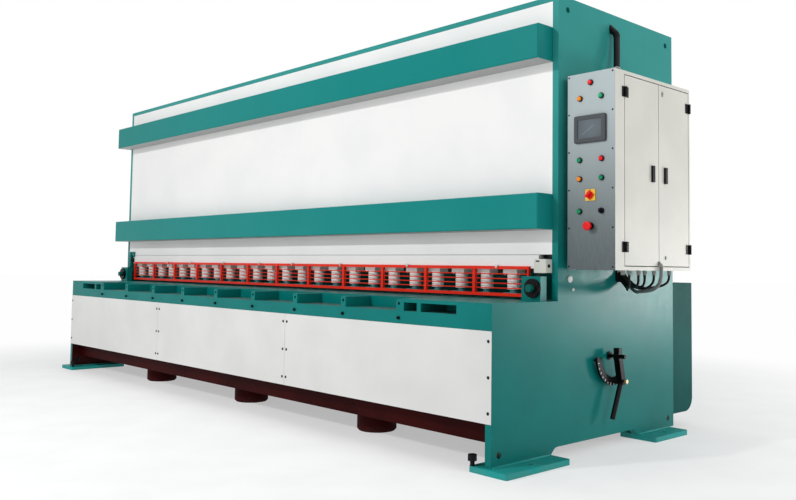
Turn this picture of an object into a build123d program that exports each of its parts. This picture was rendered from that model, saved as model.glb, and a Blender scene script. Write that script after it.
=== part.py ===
from build123d import *
import math
import os

# Hydraulic guillotine shear with a cut 5 m long, in millimetres.
# X runs along the machine to the operator's right, Y runs to the rear, Z is up.
# The origin is on the floor, at the centre of the four anchor holes.

# Side frames and feet
inner_gap = 5304
side_plate = 40
anchor_pitch_y = 1320
foot_length = 520
rear_foot_length = 380
rear_foot_shift = 15
foot_width = 250
foot_height = 30
foot_overhang = 127
foot_corner = 12
anchor_hole = 33
front_setback = 30
frame_depth = 1776
table_height = 850
throat_setback = 546
frame_height = 2564
arch_rise = 35
arch_corner_r = 45
corner_hole = 34
upper_hole_inset = 87
upper_hole_drop = 72
upper_rear_inset = 82
lower_hole_inset = 61
lower_hole_rise = 88
lower_rear_inset = 67
conduit_y = 176
conduit_drop = 92
conduit_hole_r = 18
overcut = 10

half_inner = inner_gap / 2
work_end_gap = 92
guard_end_gap = 150
half_outer = half_inner + side_plate
foot_outer_x = half_outer + foot_overhang
foot_inner_x = foot_outer_x - foot_width
anchor_x = (foot_outer_x + half_outer) / 2
anchor_y = anchor_pitch_y / 2
front_y = -(anchor_y + foot_length / 2) + front_setback
rear_y = front_y + frame_depth
upper_front_y = front_y + throat_setback

# Levelling bolts at the inner corners of the feet
bolt_shank_r = 12
bolt_head_af = 42
bolt_head_height = 32
bolt_inset = 14
bolt_standout = 26

# Bed
rail_face_depth = 30
ledge_drop = 67
ledge_top = table_height - ledge_drop
rail_height = 143
rail_bottom = ledge_top - rail_height
ledge_plate = 30
notch_depth = 200
table_plate = 40
lip = 30
rib_count = 9
rib_pitch = 500
rib_width = 45
rib_top_drop = 6
rib_bolt_r = 9
rib_bolt_depth = 14
rib_bolt_drop = 22
pocket_outer_x = half_inner - 206
pocket_post = 18
pocket_divider = 31
pocket_divider_x = 2161
pocket_cover = 20
blade_plane_y = -150
blade_thickness = 30
blade_height = 100
girder_front_y = -800
girder_bottom = 130
girder_plate = 25
girder_depth = 560
pad_pitch = 1450
pad_count = 3
pad_r = 125
pad_chamfer = 12
pad_y = -560

# Lower front panels
panel_count = 3
panel_thickness = 3
panel_bottom = 246
panel_lap = 70
panel_top = rail_bottom + panel_lap
panel_gap = 2

# Upper front
cover_rise = 257
cover_bottom = table_height + cover_rise
cover_thickness = 20
top_plate = 33
beam_projection = 138
beam_wall = 12
beam_edge_r = 9
beam_left_over = 8
beam_left_x = -half_outer - beam_left_over
beam_right_x = half_inner
upper_beam_height = 196
upper_beam_drop = 182
upper_beam_bottom = frame_height - upper_beam_drop - upper_beam_height
lower_beam_rise = 393
lower_beam_bottom = table_height + lower_beam_rise
lower_beam_height = 199

# Hold-downs and finger guard
clamp_half_length = half_inner - work_end_gap
clamp_rise = 178
clamp_bottom = table_height + clamp_rise
clamp_height = 232
clamp_top = clamp_bottom + clamp_height
clamp_rear_y = -180
clamp_wall = 22
seam = 3
hold_down_count = 24
hold_down_offset = 40
hold_down_y = -285
hold_down_r = 39
hold_down_rise = 55
hold_down_bottom = table_height + hold_down_rise
hold_down_block = 30
hold_down_block_width = 104
hold_down_block_depth = 76
foot_rod_r = 24
foot_pad_width = 104
foot_pad_depth = 78
foot_pad_height = 18
foot_pad_gap = 18
foot_pad_bottom = table_height + foot_pad_gap
guard_half_length = half_inner - guard_end_gap
guard_bays = 12
guard_bar = 18
guard_post = 22
guard_gap = 16
guard_bottom = table_height + guard_gap
guard_height = 174
guard_top = guard_bottom + guard_height
guard_rod_r = 3.5
guard_rods_per_bay = 4
end_block_inner_x = guard_half_length + 4
end_block_outer_x = half_inner - 12
end_block_front_y = -430
end_block_depth = 52
end_block_height = 135
end_block_top = table_height + end_block_height
dial_x = half_inner - 62
dial_rise = 70
dial_z = table_height + dial_rise
switch_length = 82
switch_rise = 154
switch_height = 77
switch_front = 56
switch_back = 14
switch_corner_r = 6
dial_r = 52
dial_depth = 18
dial_hub_r = 21
dial_hub_out = 30

# Blade beam, blades and rear
ram_plate = 60
ram_front_y = -120
ram_top_drop = 264
ram_top = frame_height - ram_top_drop
ram_side_clearance = 0.3
blade_clearance = 0.6
blade_half_length = half_inner - work_end_gap
upper_blade_low = table_height + 30
rake_rise = 130
ram_rib_count = 7
ram_rib_pitch = 800
ram_rib_depth = 160
ram_rib_plate = 25
ram_rib_gap = 60
weld_gap = 0.3
ram_rib_slope = 200
blade_lift = 20
rear_cover_gap = 5
lip_under_blade = 50
rear_cover_plate = 20
chute_plate = 8
chute_bottom = 93
chute_rise = 95
chute_top = table_height + chute_rise
rear_cover_bottom = chute_top + rear_cover_gap
chute_slope = 300
chute_inside = 366
chute_outside = 320
chute_front_y = rear_y - chute_inside
chute_rear_y = rear_y + chute_outside
chute_corner_r = 90

# Electrical cabinet on the right side frame
cabinet_standoff = 33
cabinet_width = 303
cabinet_depth = 788
cabinet_bottom = 1025
cabinet_top_drop = 465
cabinet_top = frame_height - cabinet_top_drop
cabinet_front_y = -299
cabinet_wall = 4
standoff_inset_z = 180
standoff_inset_y = 60
standoff_height = 50
door_thickness = 16
door_skin = 3
door_gap = 5
door_front_edge_y = -207
door_rear_edge_y = 472
door_sill = 25
door_head = 24
door_bottom = cabinet_bottom + door_sill
door_top = cabinet_top - door_head
door_split_shift = 6
hinge_r = 7
hinge_standoff = 9
hinge_length = 56
hinge_leaf = 34
hinge_leaf_thickness = 4
front_fixed_leaf = 25
rear_fixed_leaf = 14
leaf_clearance = 6
lower_hinge_inset = 99
upper_hinge_inset = 92
handle_height = 92
handle_width = 24
handle_depth = 12
handle_offset = 65
cabinet_x0 = half_outer + cabinet_standoff
cabinet_x1 = cabinet_x0 + cabinet_width
cabinet_rear_y = cabinet_front_y + cabinet_depth

# Control panel: the rows are heights above the cabinet's bottom for a cabinet of row_span
sheet = 3
row_span = 1074
column_pitch = 140
lamp_column_pitch = 136
row_top_lamp = 1017
row_lamps = 935
row_screen = 763
row_start = 596
row_mode = 493
row_switch = 403
row_selector = 316
row_stop = 235
bezel_r = 16
bezel_bore_r = 12.5
bezel_height = 8
cap_r = 12
cap_length = 11
cap_lift = 5
cap_chamfer = 1.5
lamp_length = 20
lamp_dome_r = 7
screen_width = 200
screen_height = 150
screen_depth = 16
screen_recess = 4
screen_border = 24
screen_corner_r = 10
screen_edge_r = 3
glass_corner_r = 4
switch_plate = 62
switch_plate_corner_r = 5
switch_plate_depth = 6
switch_knob_r = 20
switch_knob_depth = 10
switch_grip = 30
switch_grip_length = 37
switch_grip_width = 13
running_gap = 0.3
selector_depth = 28
selector_grip_length = 22
selector_grip_width = 9
stop_bezel_r = 20
stop_bezel_bore_r = 11
stop_stem_r = 10.5
stop_head_r = 24
stop_head_depth = 16
stop_head_edge_r = 9
stop_clearance = 1
stop_out = 46
stop_travel = 6

# Cable entries
gland_r = 13
gland_length = 26
gland_x = 2930
gland_places = [-75, -10, 85, 150, 250, 420]
cable_r = 7
port_y = 262
port_drop = 28
port_z = cabinet_bottom - port_drop
port_pitch_y = 22
port_pitch_z = 32
port_width = 84
port_height = 74
port_plate_drop = 6
port_corner_r = 18
port_plate = 14
nipple_r = 9
nipple_root = 7
nipple_out = 17
conduit_r = 19
elbow_r = 20
elbow_stub = 40
elbow_bend = 40
collar_r = 28
collar_length = 34
collar_chamfer = 3
conduit_entry = (2755, 136)
outlet_y = 138
outlet_rise = 35
outlet_z = cabinet_bottom + outlet_rise
outlet_r = 10
outlet_bend = 12
outlet_stub = 2
notch_clear = 5

# Blade gap lever on the right side frame
lever_y = 152
lever_z = 525
quadrant_r = 145
quadrant_width = 46
quadrant_plate = 12
quadrant_standoff = 22
quadrant_end = 17
post_angle = 187
post_spread = 84
post_r = 9
bearing_r = 14
disc_r = 24
disc_depth = 12
spindle_r = 9
head_clearance = 8
head_depth = 36
head_width = 34
head_below = 24
head_above = 48
head_corner_r = 6
head_boss_r = 24
shaft_end_r = 12
shaft_end_length = 32
arm_depth = 38
arm_width = 38
arm_lean = 32
clamp_radius = 148
clamp_boss_r = 22
clamp_boss_depth = 38
clamp_screw_r = 8
clamp_screw_length = 8
screw_tip_r = 12
screw_tip_length = 14
grip_r = 15
grip_length = 228
grip_lean = 90
grip_edge_r = 4


def span(x0, x1, y0, y1, z0, z1, mode=Mode.ADD):
    """Rectangular block between two opposite corners."""
    with Locations(((x0 + x1) / 2, (y0 + y1) / 2, (z0 + z1) / 2)):
        Box(x1 - x0, y1 - y0, z1 - z0, mode=mode)


def save(builder, name):
    """Name a finished piece and write it."""
    builder.part.label = name
    export_step(builder.part, f"parts/{name}.step")


os.makedirs("parts", exist_ok=True)

# Side frames: one thick plate each, with a low front for the bed and an arch between the feet
frame_corner_holes = [
    (upper_front_y + upper_hole_inset, frame_height - upper_hole_drop),
    (rear_y - upper_rear_inset, frame_height - upper_hole_drop),
    (front_y + lower_hole_inset, lower_hole_rise),
    (rear_y - lower_rear_inset, lower_hole_rise),
]
conduit_z = frame_height - conduit_drop
arch_front_y = -anchor_y + foot_length / 2
rear_foot_y = anchor_y - rear_foot_shift
arch_rear_y = rear_foot_y - rear_foot_length / 2
for name, plane_x in (("right_side_frame", half_inner), ("left_side_frame", -half_outer)):
    with BuildPart() as side_frame:
        with BuildSketch(Plane.YZ.offset(plane_x)) as outline:
            with BuildLine():
                Polyline(
                    (front_y, foot_height),
                    (front_y, table_height),
                    (upper_front_y, table_height),
                    (upper_front_y, frame_height),
                    (rear_y, frame_height),
                    (rear_y, foot_height),
                    (arch_rear_y, foot_height),
                    (arch_rear_y - arch_rise, foot_height + arch_rise),
                    (arch_front_y + arch_rise, foot_height + arch_rise),
                    (arch_front_y, foot_height),
                    close=True,
                )
            make_face()
            arch_corners = [v for v in outline.vertices() if abs(v.Y - foot_height - arch_rise) < 1]
            fillet(arch_corners, arch_corner_r)
            with Locations(*frame_corner_holes):
                Circle(corner_hole / 2, mode=Mode.SUBTRACT)
            if plane_x > 0:
                with Locations((conduit_y, conduit_z)):
                    Circle(conduit_hole_r, mode=Mode.SUBTRACT)
        extrude(amount=side_plate)
    save(side_frame, name)

# Feet: four plates under the side frames, each with one anchor hole outside the frame
with BuildPart() as feet:
    foot_centre_x = (foot_inner_x + foot_outer_x) / 2
    with BuildSketch():
        with Locations((-foot_centre_x, -anchor_y), (foot_centre_x, -anchor_y)):
            RectangleRounded(foot_width, foot_length, foot_corner)
        with Locations((-foot_centre_x, rear_foot_y), (foot_centre_x, rear_foot_y)):
            RectangleRounded(foot_width, rear_foot_length, foot_corner)
        with GridLocations(2 * anchor_x, anchor_pitch_y, 2, 2):
            Circle(anchor_hole / 2, mode=Mode.SUBTRACT)
    extrude(amount=foot_height)
save(feet, "feet")

# Levelling bolts: hexagon heads standing on their shanks at the inner corners of the feet
with BuildPart() as levelling_bolts:
    bolt_x = foot_inner_x + bolt_inset
    front_bolt_y = -(anchor_y + foot_length / 2) + bolt_inset
    rear_bolt_y = rear_foot_y + rear_foot_length / 2 - bolt_inset
    bolt_places = [(x, y) for x in (-bolt_x, bolt_x) for y in (front_bolt_y, rear_bolt_y)]
    with BuildSketch(Plane.XY.offset(foot_height)):
        with Locations(*bolt_places):
            Circle(bolt_shank_r)
    extrude(amount=bolt_standout)
    with BuildSketch(Plane.XY.offset(foot_height + bolt_standout)):
        with Locations(*bolt_places):
            RegularPolygon(bolt_head_af / 2, 6, major_radius=False)
    extrude(amount=bolt_head_height)
save(levelling_bolts, "levelling_bolts")

# Front rail: the teal band over the panels, folded back into the ledge under the table
ledge_rear_y = girder_front_y + girder_depth
with BuildPart() as front_rail:
    with BuildSketch(Plane.YZ.offset(-half_inner)):
        with BuildLine():
            Polyline(
                (front_y, rail_bottom),
                (front_y, ledge_top),
                (ledge_rear_y, ledge_top),
                (ledge_rear_y, ledge_top - ledge_plate),
                (front_y + rail_face_depth, ledge_top - ledge_plate),
                (front_y + rail_face_depth, rail_bottom),
                close=True,
            )
        make_face()
    extrude(amount=inner_gap)
save(front_rail, "front_rail")

# Ribs: upright plates on the ledge, flush with the rail, each with a bolt hole near its top
notch_rear_y = front_y + notch_depth
with BuildPart() as bed_ribs:
    rib_height = table_height - rib_top_drop - ledge_top
    with Locations((0, front_y + notch_depth / 2, ledge_top + rib_height / 2)):
        with GridLocations(rib_pitch, 1, rib_count, 1):
            Box(rib_width, notch_depth, rib_height)
    with BuildSketch(Plane.XZ.offset(-front_y)):
        with Locations((0, ledge_top + rib_height - rib_bolt_drop)):
            with GridLocations(rib_pitch, 1, rib_count, 1):
                Circle(rib_bolt_r)
    extrude(amount=-rib_bolt_depth, mode=Mode.SUBTRACT)
save(bed_ribs, "bed_ribs")

# Bed ends: solid corners with a covered hand pocket, split by one divider, at each end
pocket_inner_x = rib_pitch * (rib_count - 1) / 2 + rib_width / 2
with BuildPart() as bed_end_blocks:
    with BuildSketch(Plane.XZ.offset(-front_y)):
        with BuildLine():
            Polyline(
                (pocket_inner_x, ledge_top),
                (pocket_inner_x, table_height),
                (half_inner, table_height),
                (half_inner, ledge_top),
                close=True,
            )
        make_face()
        pocket_top = table_height - pocket_cover
        for left, right in (
            (pocket_inner_x + pocket_post, pocket_divider_x - pocket_divider / 2),
            (pocket_divider_x + pocket_divider / 2, pocket_outer_x),
        ):
            with Locations(((left + right) / 2, (ledge_top + pocket_top) / 2)):
                Rectangle(right - left, pocket_top - ledge_top, mode=Mode.SUBTRACT)
        mirror(about=Plane.YZ)
    extrude(amount=-notch_depth)
save(bed_end_blocks, "bed_end_blocks")

# Table: the top plate with a front lip and a rear lip that carries the lower blade
table_rear_y = blade_plane_y - blade_thickness
rear_lip_bottom = table_height - blade_height - lip_under_blade
with BuildPart() as table_top:
    with BuildSketch(Plane.YZ.offset(-half_inner)):
        with BuildLine():
            Polyline(
                (notch_rear_y, ledge_top),
                (notch_rear_y, table_height),
                (table_rear_y, table_height),
                (table_rear_y, rear_lip_bottom),
                (ledge_rear_y, rear_lip_bottom),
                (ledge_rear_y, table_height - table_plate),
                (notch_rear_y + lip, table_height - table_plate),
                (notch_rear_y + lip, ledge_top),
                close=True,
            )
        make_face()
    extrude(amount=inner_gap)
save(table_top, "table_top")

# Bed girder: the closed box under the table
with BuildPart() as bed_girder:
    girder_top = ledge_top - ledge_plate
    girder_mid_z = (girder_bottom + girder_top) / 2
    girder_mid_y = girder_front_y + girder_depth / 2
    with BuildSketch(Plane.YZ.offset(-half_inner)):
        with Locations((girder_mid_y, girder_mid_z)):
            Rectangle(girder_depth, girder_top - girder_bottom)
            Rectangle(
                girder_depth - 2 * girder_plate,
                girder_top - girder_bottom - 2 * girder_plate,
                mode=Mode.SUBTRACT,
            )
    extrude(amount=inner_gap)
save(bed_girder, "bed_girder")

# Bed pads: round levelling pads between the girder and the floor
with BuildPart() as bed_pads:
    with BuildSketch():
        with Locations((0, pad_y)):
            with GridLocations(pad_pitch, 1, pad_count, 1):
                Circle(pad_r)
    extrude(amount=girder_bottom)
    chamfer(bed_pads.edges().filter_by(GeomType.CIRCLE).group_by(Axis.Z)[0], pad_chamfer)
save(bed_pads, "bed_pads")

# Front panels: three equal sheets over the front of the bed
panel_total = 2 * half_outer
panel_width = (panel_total - (panel_count - 1) * panel_gap) / panel_count
for index, name in enumerate(("front_panel_left", "front_panel_middle", "front_panel_right")):
    panel_x0 = -half_outer + index * (panel_width + panel_gap)
    with BuildPart() as front_panel:
        with BuildSketch(Plane.XZ.offset(-front_y)):
            with Locations((panel_x0 + panel_width / 2, (panel_bottom + panel_top) / 2)):
                Rectangle(panel_width, panel_top - panel_bottom)
        extrude(amount=panel_thickness)
    save(front_panel, name)

# Front cover: the plain plate that closes the upper front between the frames
cover_top = frame_height - top_plate
with BuildPart() as front_cover:
    with BuildSketch(Plane.XZ.offset(-upper_front_y)):
        with Locations((0, (cover_bottom + cover_top) / 2)):
            Rectangle(inner_gap, cover_top - cover_bottom)
    extrude(amount=-cover_thickness)
save(front_cover, "front_cover")

# Top plate: closes the machine between the side frames
with BuildPart() as top_cover:
    span(-half_inner, half_inner, upper_front_y, rear_y, cover_top, frame_height)
save(top_cover, "top_plate")


def front_beam(bottom, height):
    """Folded channel across the front, with closed ends, open towards the cover."""
    length = beam_right_x - beam_left_x
    centre = ((beam_left_x + beam_right_x) / 2, bottom + height / 2)
    with BuildPart() as beam:
        with BuildSketch(Plane.XZ.offset(-upper_front_y)):
            with Locations(centre):
                Rectangle(length, height)
        extrude(amount=beam_projection)
        front = beam.faces().sort_by(Axis.Y)[0]
        fillet(front.edges(), beam_edge_r)
        with BuildSketch(Plane.XZ.offset(-upper_front_y)):
            with Locations(centre):
                Rectangle(length - 2 * beam_wall, height - 2 * beam_wall)
        extrude(amount=beam_projection - beam_wall, mode=Mode.SUBTRACT)
    return beam


save(front_beam(upper_beam_bottom, upper_beam_height), "upper_beam")
save(front_beam(lower_beam_bottom, lower_beam_height), "lower_beam")

# Clamp beam: hollow beam behind the cover, whose front apron fills the gap under it
with BuildPart() as clamp_beam:
    cover_back_y = upper_front_y + cover_thickness
    with BuildSketch(Plane.YZ.offset(-clamp_half_length)):
        with BuildLine():
            Polyline(
                (upper_front_y, clamp_bottom),
                (upper_front_y, cover_bottom - seam),
                (cover_back_y, cover_bottom - seam),
                (cover_back_y, clamp_top),
                (clamp_rear_y, clamp_top),
                (clamp_rear_y, clamp_bottom),
                close=True,
            )
        make_face()
        with Locations(((cover_back_y + clamp_rear_y) / 2, (clamp_bottom + clamp_top) / 2)):
            Rectangle(
                clamp_rear_y - cover_back_y - 2 * clamp_wall,
                clamp_top - clamp_bottom - 2 * clamp_wall,
                mode=Mode.SUBTRACT,
            )
    extrude(amount=2 * clamp_half_length)
save(clamp_beam, "clamp_beam")

# Hold-down cylinders: a block and a barrel under the clamp beam at each place
guard_bay = 2 * guard_half_length / guard_bays
hold_down_pitch = guard_bay / 2
hold_down_x = [
    (index - hold_down_count / 2) * hold_down_pitch + hold_down_offset
    for index in range(hold_down_count)
]
with BuildPart() as hold_down_cylinders:
    with BuildSketch(Plane.XY.offset(clamp_bottom)):
        with Locations(*[(x, hold_down_y) for x in hold_down_x]):
            Rectangle(hold_down_block_width, hold_down_block_depth)
    extrude(amount=-hold_down_block)
    with BuildSketch(Plane.XY.offset(clamp_bottom - hold_down_block)):
        with Locations(*[(x, hold_down_y) for x in hold_down_x]):
            Circle(hold_down_r)
    extrude(amount=hold_down_bottom - clamp_bottom + hold_down_block)
save(hold_down_cylinders, "hold_down_cylinders")

# Hold-down feet: the rod ends and pads that press the sheet on the table
with BuildPart() as hold_down_feet:
    with BuildSketch(Plane.XY.offset(hold_down_bottom)):
        with Locations(*[(x, hold_down_y) for x in hold_down_x]):
            Circle(foot_rod_r)
    extrude(amount=foot_pad_bottom + foot_pad_height - hold_down_bottom)
    with BuildSketch(Plane.XY.offset(foot_pad_bottom)):
        with Locations(*[(x, hold_down_y) for x in hold_down_x]):
            Rectangle(foot_pad_width, foot_pad_depth)
    extrude(amount=foot_pad_height)
save(hold_down_feet, "hold_down_feet")

# Finger guard: a welded frame of square bar with a post at each bay
with BuildPart() as guard_frame:
    with BuildSketch(Plane.XZ.offset(-upper_front_y)):
        with Locations((0, guard_bottom + guard_height / 2)):
            Rectangle(2 * guard_half_length, guard_height)
            with GridLocations(guard_bay, 1, guard_bays, 1):
                Rectangle(guard_bay - guard_post, guard_height - 2 * guard_bar, mode=Mode.SUBTRACT)
    extrude(amount=guard_bar)
save(guard_frame, "guard_frame")

# Guard rods: thin rods between the posts, end to end in every bay
with BuildPart() as guard_rods:
    rod_pitch = (guard_height - 2 * guard_bar) / (guard_rods_per_bay + 1)
    rod_y = upper_front_y - guard_bar / 2
    rod_length = guard_bay - guard_post
    with BuildSketch(Plane.YZ.offset(-guard_half_length + guard_post / 2)):
        with Locations((rod_y, (guard_bottom + guard_top) / 2)):
            with GridLocations(1, rod_pitch, 1, guard_rods_per_bay):
                RegularPolygon(guard_rod_r, 6)
    extrude(amount=rod_length)
    bay_rods = guard_rods.solids()
    with Locations(*[(index * guard_bay, 0, 0) for index in range(1, guard_bays)]):
        add(bay_rods)
save(guard_rods, "guard_rods")

# End blocks: solid blocks on the table beside the guard, with a recess for the dial
with BuildPart() as guard_end_blocks:
    with BuildSketch(Plane.XY.offset(table_height)):
        end_block_x = (end_block_inner_x + end_block_outer_x) / 2
        with Locations((end_block_x, end_block_front_y + end_block_depth / 2)):
            Rectangle(end_block_outer_x - end_block_inner_x, end_block_depth)
        mirror(about=Plane.YZ)
    extrude(amount=end_block_top - table_height)
save(guard_end_blocks, "guard_end_blocks")

# End dials: black discs with a hub on the front of the end blocks
with BuildPart() as end_dials:
    with BuildSketch(Plane.XZ.offset(-end_block_front_y)):
        with Locations((dial_x, dial_z), (-dial_x, dial_z)):
            Circle(dial_r)
    extrude(amount=dial_depth)
    with BuildSketch(Plane.XZ.offset(-end_block_front_y + dial_depth)):
        with Locations((dial_x, dial_z), (-dial_x, dial_z)):
            Circle(dial_hub_r)
    extrude(amount=dial_hub_out)
save(end_dials, "end_dials")

# Limit switch: small box on the inner face of the right frame above the end block
with BuildPart() as limit_switch:
    switch_bottom = table_height + switch_rise
    span(
        half_inner - switch_length,
        half_inner,
        upper_front_y - switch_front,
        upper_front_y + switch_back,
        switch_bottom,
        switch_bottom + switch_height,
    )
    fillet(limit_switch.edges().filter_by(Axis.Y), switch_corner_r)
save(limit_switch, "limit_switch")

# Lower blade: bar on the rear lip of the table, its top flush with the table
with BuildPart() as lower_blade:
    span(
        -blade_half_length,
        blade_half_length,
        table_rear_y,
        blade_plane_y,
        table_height - blade_height,
        table_height,
    )
save(lower_blade, "lower_blade")


# Upper blade: raked bar on the front of the blade beam
with BuildPart() as upper_blade:
    with BuildSketch(Plane.XZ.offset(-ram_front_y)):
        with BuildLine():
            Polyline(
                (-blade_half_length, upper_blade_low),
                (blade_half_length, upper_blade_low + rake_rise),
                (blade_half_length, upper_blade_low + rake_rise + blade_height),
                (-blade_half_length, upper_blade_low + blade_height),
                close=True,
            )
        make_face()
    extrude(amount=ram_front_y - blade_plane_y - blade_clearance)
save(upper_blade, "upper_blade")

# Blade beam: a thick plate with ribs behind it, guided between the side frames
with BuildPart() as blade_beam:
    ram_half = half_inner - ram_side_clearance
    ram_low = upper_blade_low + blade_lift
    with BuildSketch(Plane.XZ.offset(-ram_front_y)):
        with BuildLine():
            Polyline(
                (-ram_half, ram_low),
                (ram_half, ram_low + rake_rise),
                (ram_half, ram_top),
                (-ram_half, ram_top),
                close=True,
            )
        make_face()
    extrude(amount=-ram_plate)
    rib_front_y = ram_front_y + ram_plate + weld_gap
    rib_back_y = rib_front_y + ram_rib_depth
    rib_foot_z = ram_low + rake_rise + ram_rib_gap
    first_rib_x = -(ram_rib_count - 1) / 2 * ram_rib_pitch - ram_rib_plate / 2
    for index in range(ram_rib_count):
        with BuildSketch(Plane.YZ.offset(first_rib_x + index * ram_rib_pitch)):
            with BuildLine():
                Polyline(
                    (rib_front_y, rib_foot_z),
                    (rib_back_y, rib_foot_z + ram_rib_slope),
                    (rib_back_y, ram_top - ram_rib_depth),
                    (rib_front_y, ram_top),
                    close=True,
                )
            make_face()
        extrude(amount=ram_rib_plate)
save(blade_beam, "blade_beam")

# Rear cover: closes the upper rear between the side frames
with BuildPart() as rear_cover:
    span(-half_inner, half_inner, rear_y - rear_cover_plate, rear_y, rear_cover_bottom, cover_top)
save(rear_cover, "rear_cover")

# Chute housing: bent sheet trough at the rear with end plates, open above for cut sheets
with BuildPart() as chute_housing:
    with BuildSketch(Plane.YZ.offset(-half_inner)):
        with BuildLine():
            Line((chute_front_y, chute_bottom), (chute_rear_y - chute_corner_r, chute_bottom))
            RadiusArc(
                (chute_rear_y - chute_corner_r, chute_bottom),
                (chute_rear_y, chute_bottom + chute_corner_r),
                -chute_corner_r,
            )
            Polyline(
                (chute_rear_y, chute_bottom + chute_corner_r),
                (chute_rear_y, chute_top),
                (rear_y, chute_top),
                (chute_front_y, chute_top - chute_slope),
                (chute_front_y, chute_bottom),
            )
        make_face()
    extrude(amount=inner_gap)
    with BuildSketch(Plane.YZ.offset(-half_inner + chute_plate)):
        with BuildLine():
            inner_r = chute_corner_r - chute_plate
            Line(
                (chute_front_y, chute_bottom + chute_plate),
                (chute_rear_y - chute_corner_r, chute_bottom + chute_plate),
            )
            RadiusArc(
                (chute_rear_y - chute_corner_r, chute_bottom + chute_plate),
                (chute_rear_y - chute_plate, chute_bottom + chute_corner_r),
                -inner_r,
            )
            Polyline(
                (chute_rear_y - chute_plate, chute_bottom + chute_corner_r),
                (chute_rear_y - chute_plate, chute_top + overcut),
                (chute_front_y - overcut, chute_top + overcut),
                (chute_front_y - overcut, chute_bottom + chute_plate),
                (chute_front_y, chute_bottom + chute_plate),
            )
        make_face()
    extrude(amount=inner_gap - 2 * chute_plate, mode=Mode.SUBTRACT)
save(chute_housing, "chute_housing")

# Cabinet shell: hollow box open to the side for two doors, on two rails to the side frame
with BuildPart() as cabinet_shell:
    span(cabinet_x0, cabinet_x1, cabinet_front_y, cabinet_rear_y, cabinet_bottom, cabinet_top)
    span(
        cabinet_x0 + cabinet_wall,
        cabinet_x1 - cabinet_wall,
        cabinet_front_y + cabinet_wall,
        cabinet_rear_y - cabinet_wall,
        cabinet_bottom + cabinet_wall,
        cabinet_top - cabinet_wall,
        mode=Mode.SUBTRACT,
    )
    span(
        cabinet_x1 - 2 * cabinet_wall,
        cabinet_x1 + overcut,
        door_front_edge_y - door_gap,
        door_rear_edge_y + door_gap,
        door_bottom - door_gap,
        door_top + door_gap,
        mode=Mode.SUBTRACT,
    )
    for rail_z in (cabinet_bottom + standoff_inset_z, cabinet_top - standoff_inset_z):
        span(
            half_outer,
            cabinet_x0,
            cabinet_front_y + standoff_inset_y,
            cabinet_rear_y - standoff_inset_y,
            rail_z - standoff_height / 2,
            rail_z + standoff_height / 2,
        )
save(cabinet_shell, "cabinet_shell")

# Control panel: plain sheet over the cabinet's front
panel_y = cabinet_front_y - sheet
panel_x = (cabinet_x0 + cabinet_x1) / 2
with BuildPart() as control_panel:
    span(cabinet_x0, cabinet_x1, panel_y, cabinet_front_y, cabinet_bottom, cabinet_top)
save(control_panel, "control_panel")

# Doors: folded pans set flush into the cabinet's side opening
door_split_y = (door_front_edge_y + door_rear_edge_y) / 2 + door_split_shift
door_spans = {
    "door_front": (door_front_edge_y, door_split_y - door_gap / 2, door_front_edge_y),
    "door_rear": (door_split_y + door_gap / 2, door_rear_edge_y, door_rear_edge_y),
}
hinge_x = cabinet_x1 + hinge_standoff
hinge_levels = (door_bottom + lower_hinge_inset, door_top - upper_hinge_inset)
handle_z = (door_bottom + door_top) / 2
for name, (edge_a, edge_b, hinge_edge) in door_spans.items():
    with BuildPart() as door:
        span(cabinet_x1 - door_thickness, cabinet_x1, edge_a, edge_b, door_bottom, door_top)
        span(
            cabinet_x1 - door_thickness,
            cabinet_x1 - door_skin,
            edge_a + door_skin,
            edge_b - door_skin,
            door_bottom + door_skin,
            door_top - door_skin,
            mode=Mode.SUBTRACT,
        )
        span(
            cabinet_x1 - door_thickness,
            cabinet_x1,
            outlet_y - outlet_r - notch_clear,
            outlet_y + outlet_r + notch_clear,
            door_bottom,
            outlet_z + outlet_r + notch_clear,
            mode=Mode.SUBTRACT,
        )
    save(door, name)


def hinge_half(hinge_y, reach, level, barrel_bottom):
    """One full leaf on the outer face, joined to its own half of the barrel."""
    side = math.copysign(leaf_clearance, reach)
    with BuildPart() as half:
        with BuildSketch(Plane.XY.offset(barrel_bottom)):
            with Locations((hinge_x, hinge_y)):
                Circle(hinge_r)
            with Locations((cabinet_x1 + hinge_leaf_thickness / 2, hinge_y + side / 2)):
                Rectangle(hinge_leaf_thickness, leaf_clearance)
        extrude(amount=hinge_length / 2 - running_gap)
        with BuildSketch(Plane.XY.offset(level - hinge_length / 2)):
            with Locations((cabinet_x1 + hinge_leaf_thickness / 2, hinge_y + (side + reach) / 2)):
                Rectangle(hinge_leaf_thickness, abs(reach - side))
        extrude(amount=hinge_length)
    return half.part


# Door fittings: the moving hinge leaves and the flush handle of each door
for name, (edge_a, edge_b, hinge_edge) in door_spans.items():
    inward = 1 if hinge_edge == edge_a else -1
    hinge_y = hinge_edge - inward * door_gap / 2
    free_edge = edge_b if inward == 1 else edge_a
    reach = inward * hinge_leaf
    leaves = [hinge_half(hinge_y, reach, level, level + running_gap) for level in hinge_levels]
    with BuildPart() as fittings:
        add(leaves)
        handle_y = free_edge - inward * handle_offset
        span(
            cabinet_x1,
            cabinet_x1 + handle_depth,
            handle_y - handle_width / 2,
            handle_y + handle_width / 2,
            handle_z - handle_height / 2,
            handle_z + handle_height / 2,
        )
    save(fittings, name + "_fittings")

# Hinge leaves: the fixed halves on the cabinet
fixed_leaves = []
for edge_a, edge_b, hinge_edge in door_spans.values():
    inward = 1 if hinge_edge == edge_a else -1
    hinge_y = hinge_edge - inward * door_gap / 2
    reach = -front_fixed_leaf if inward == 1 else rear_fixed_leaf
    for level in hinge_levels:
        fixed_leaves.append(hinge_half(hinge_y, reach, level, level - hinge_length / 2))
with BuildPart() as hinge_leaves:
    add(fixed_leaves)
save(hinge_leaves, "hinge_leaves")


row_spread = (cabinet_top - cabinet_bottom) / row_span


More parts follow.
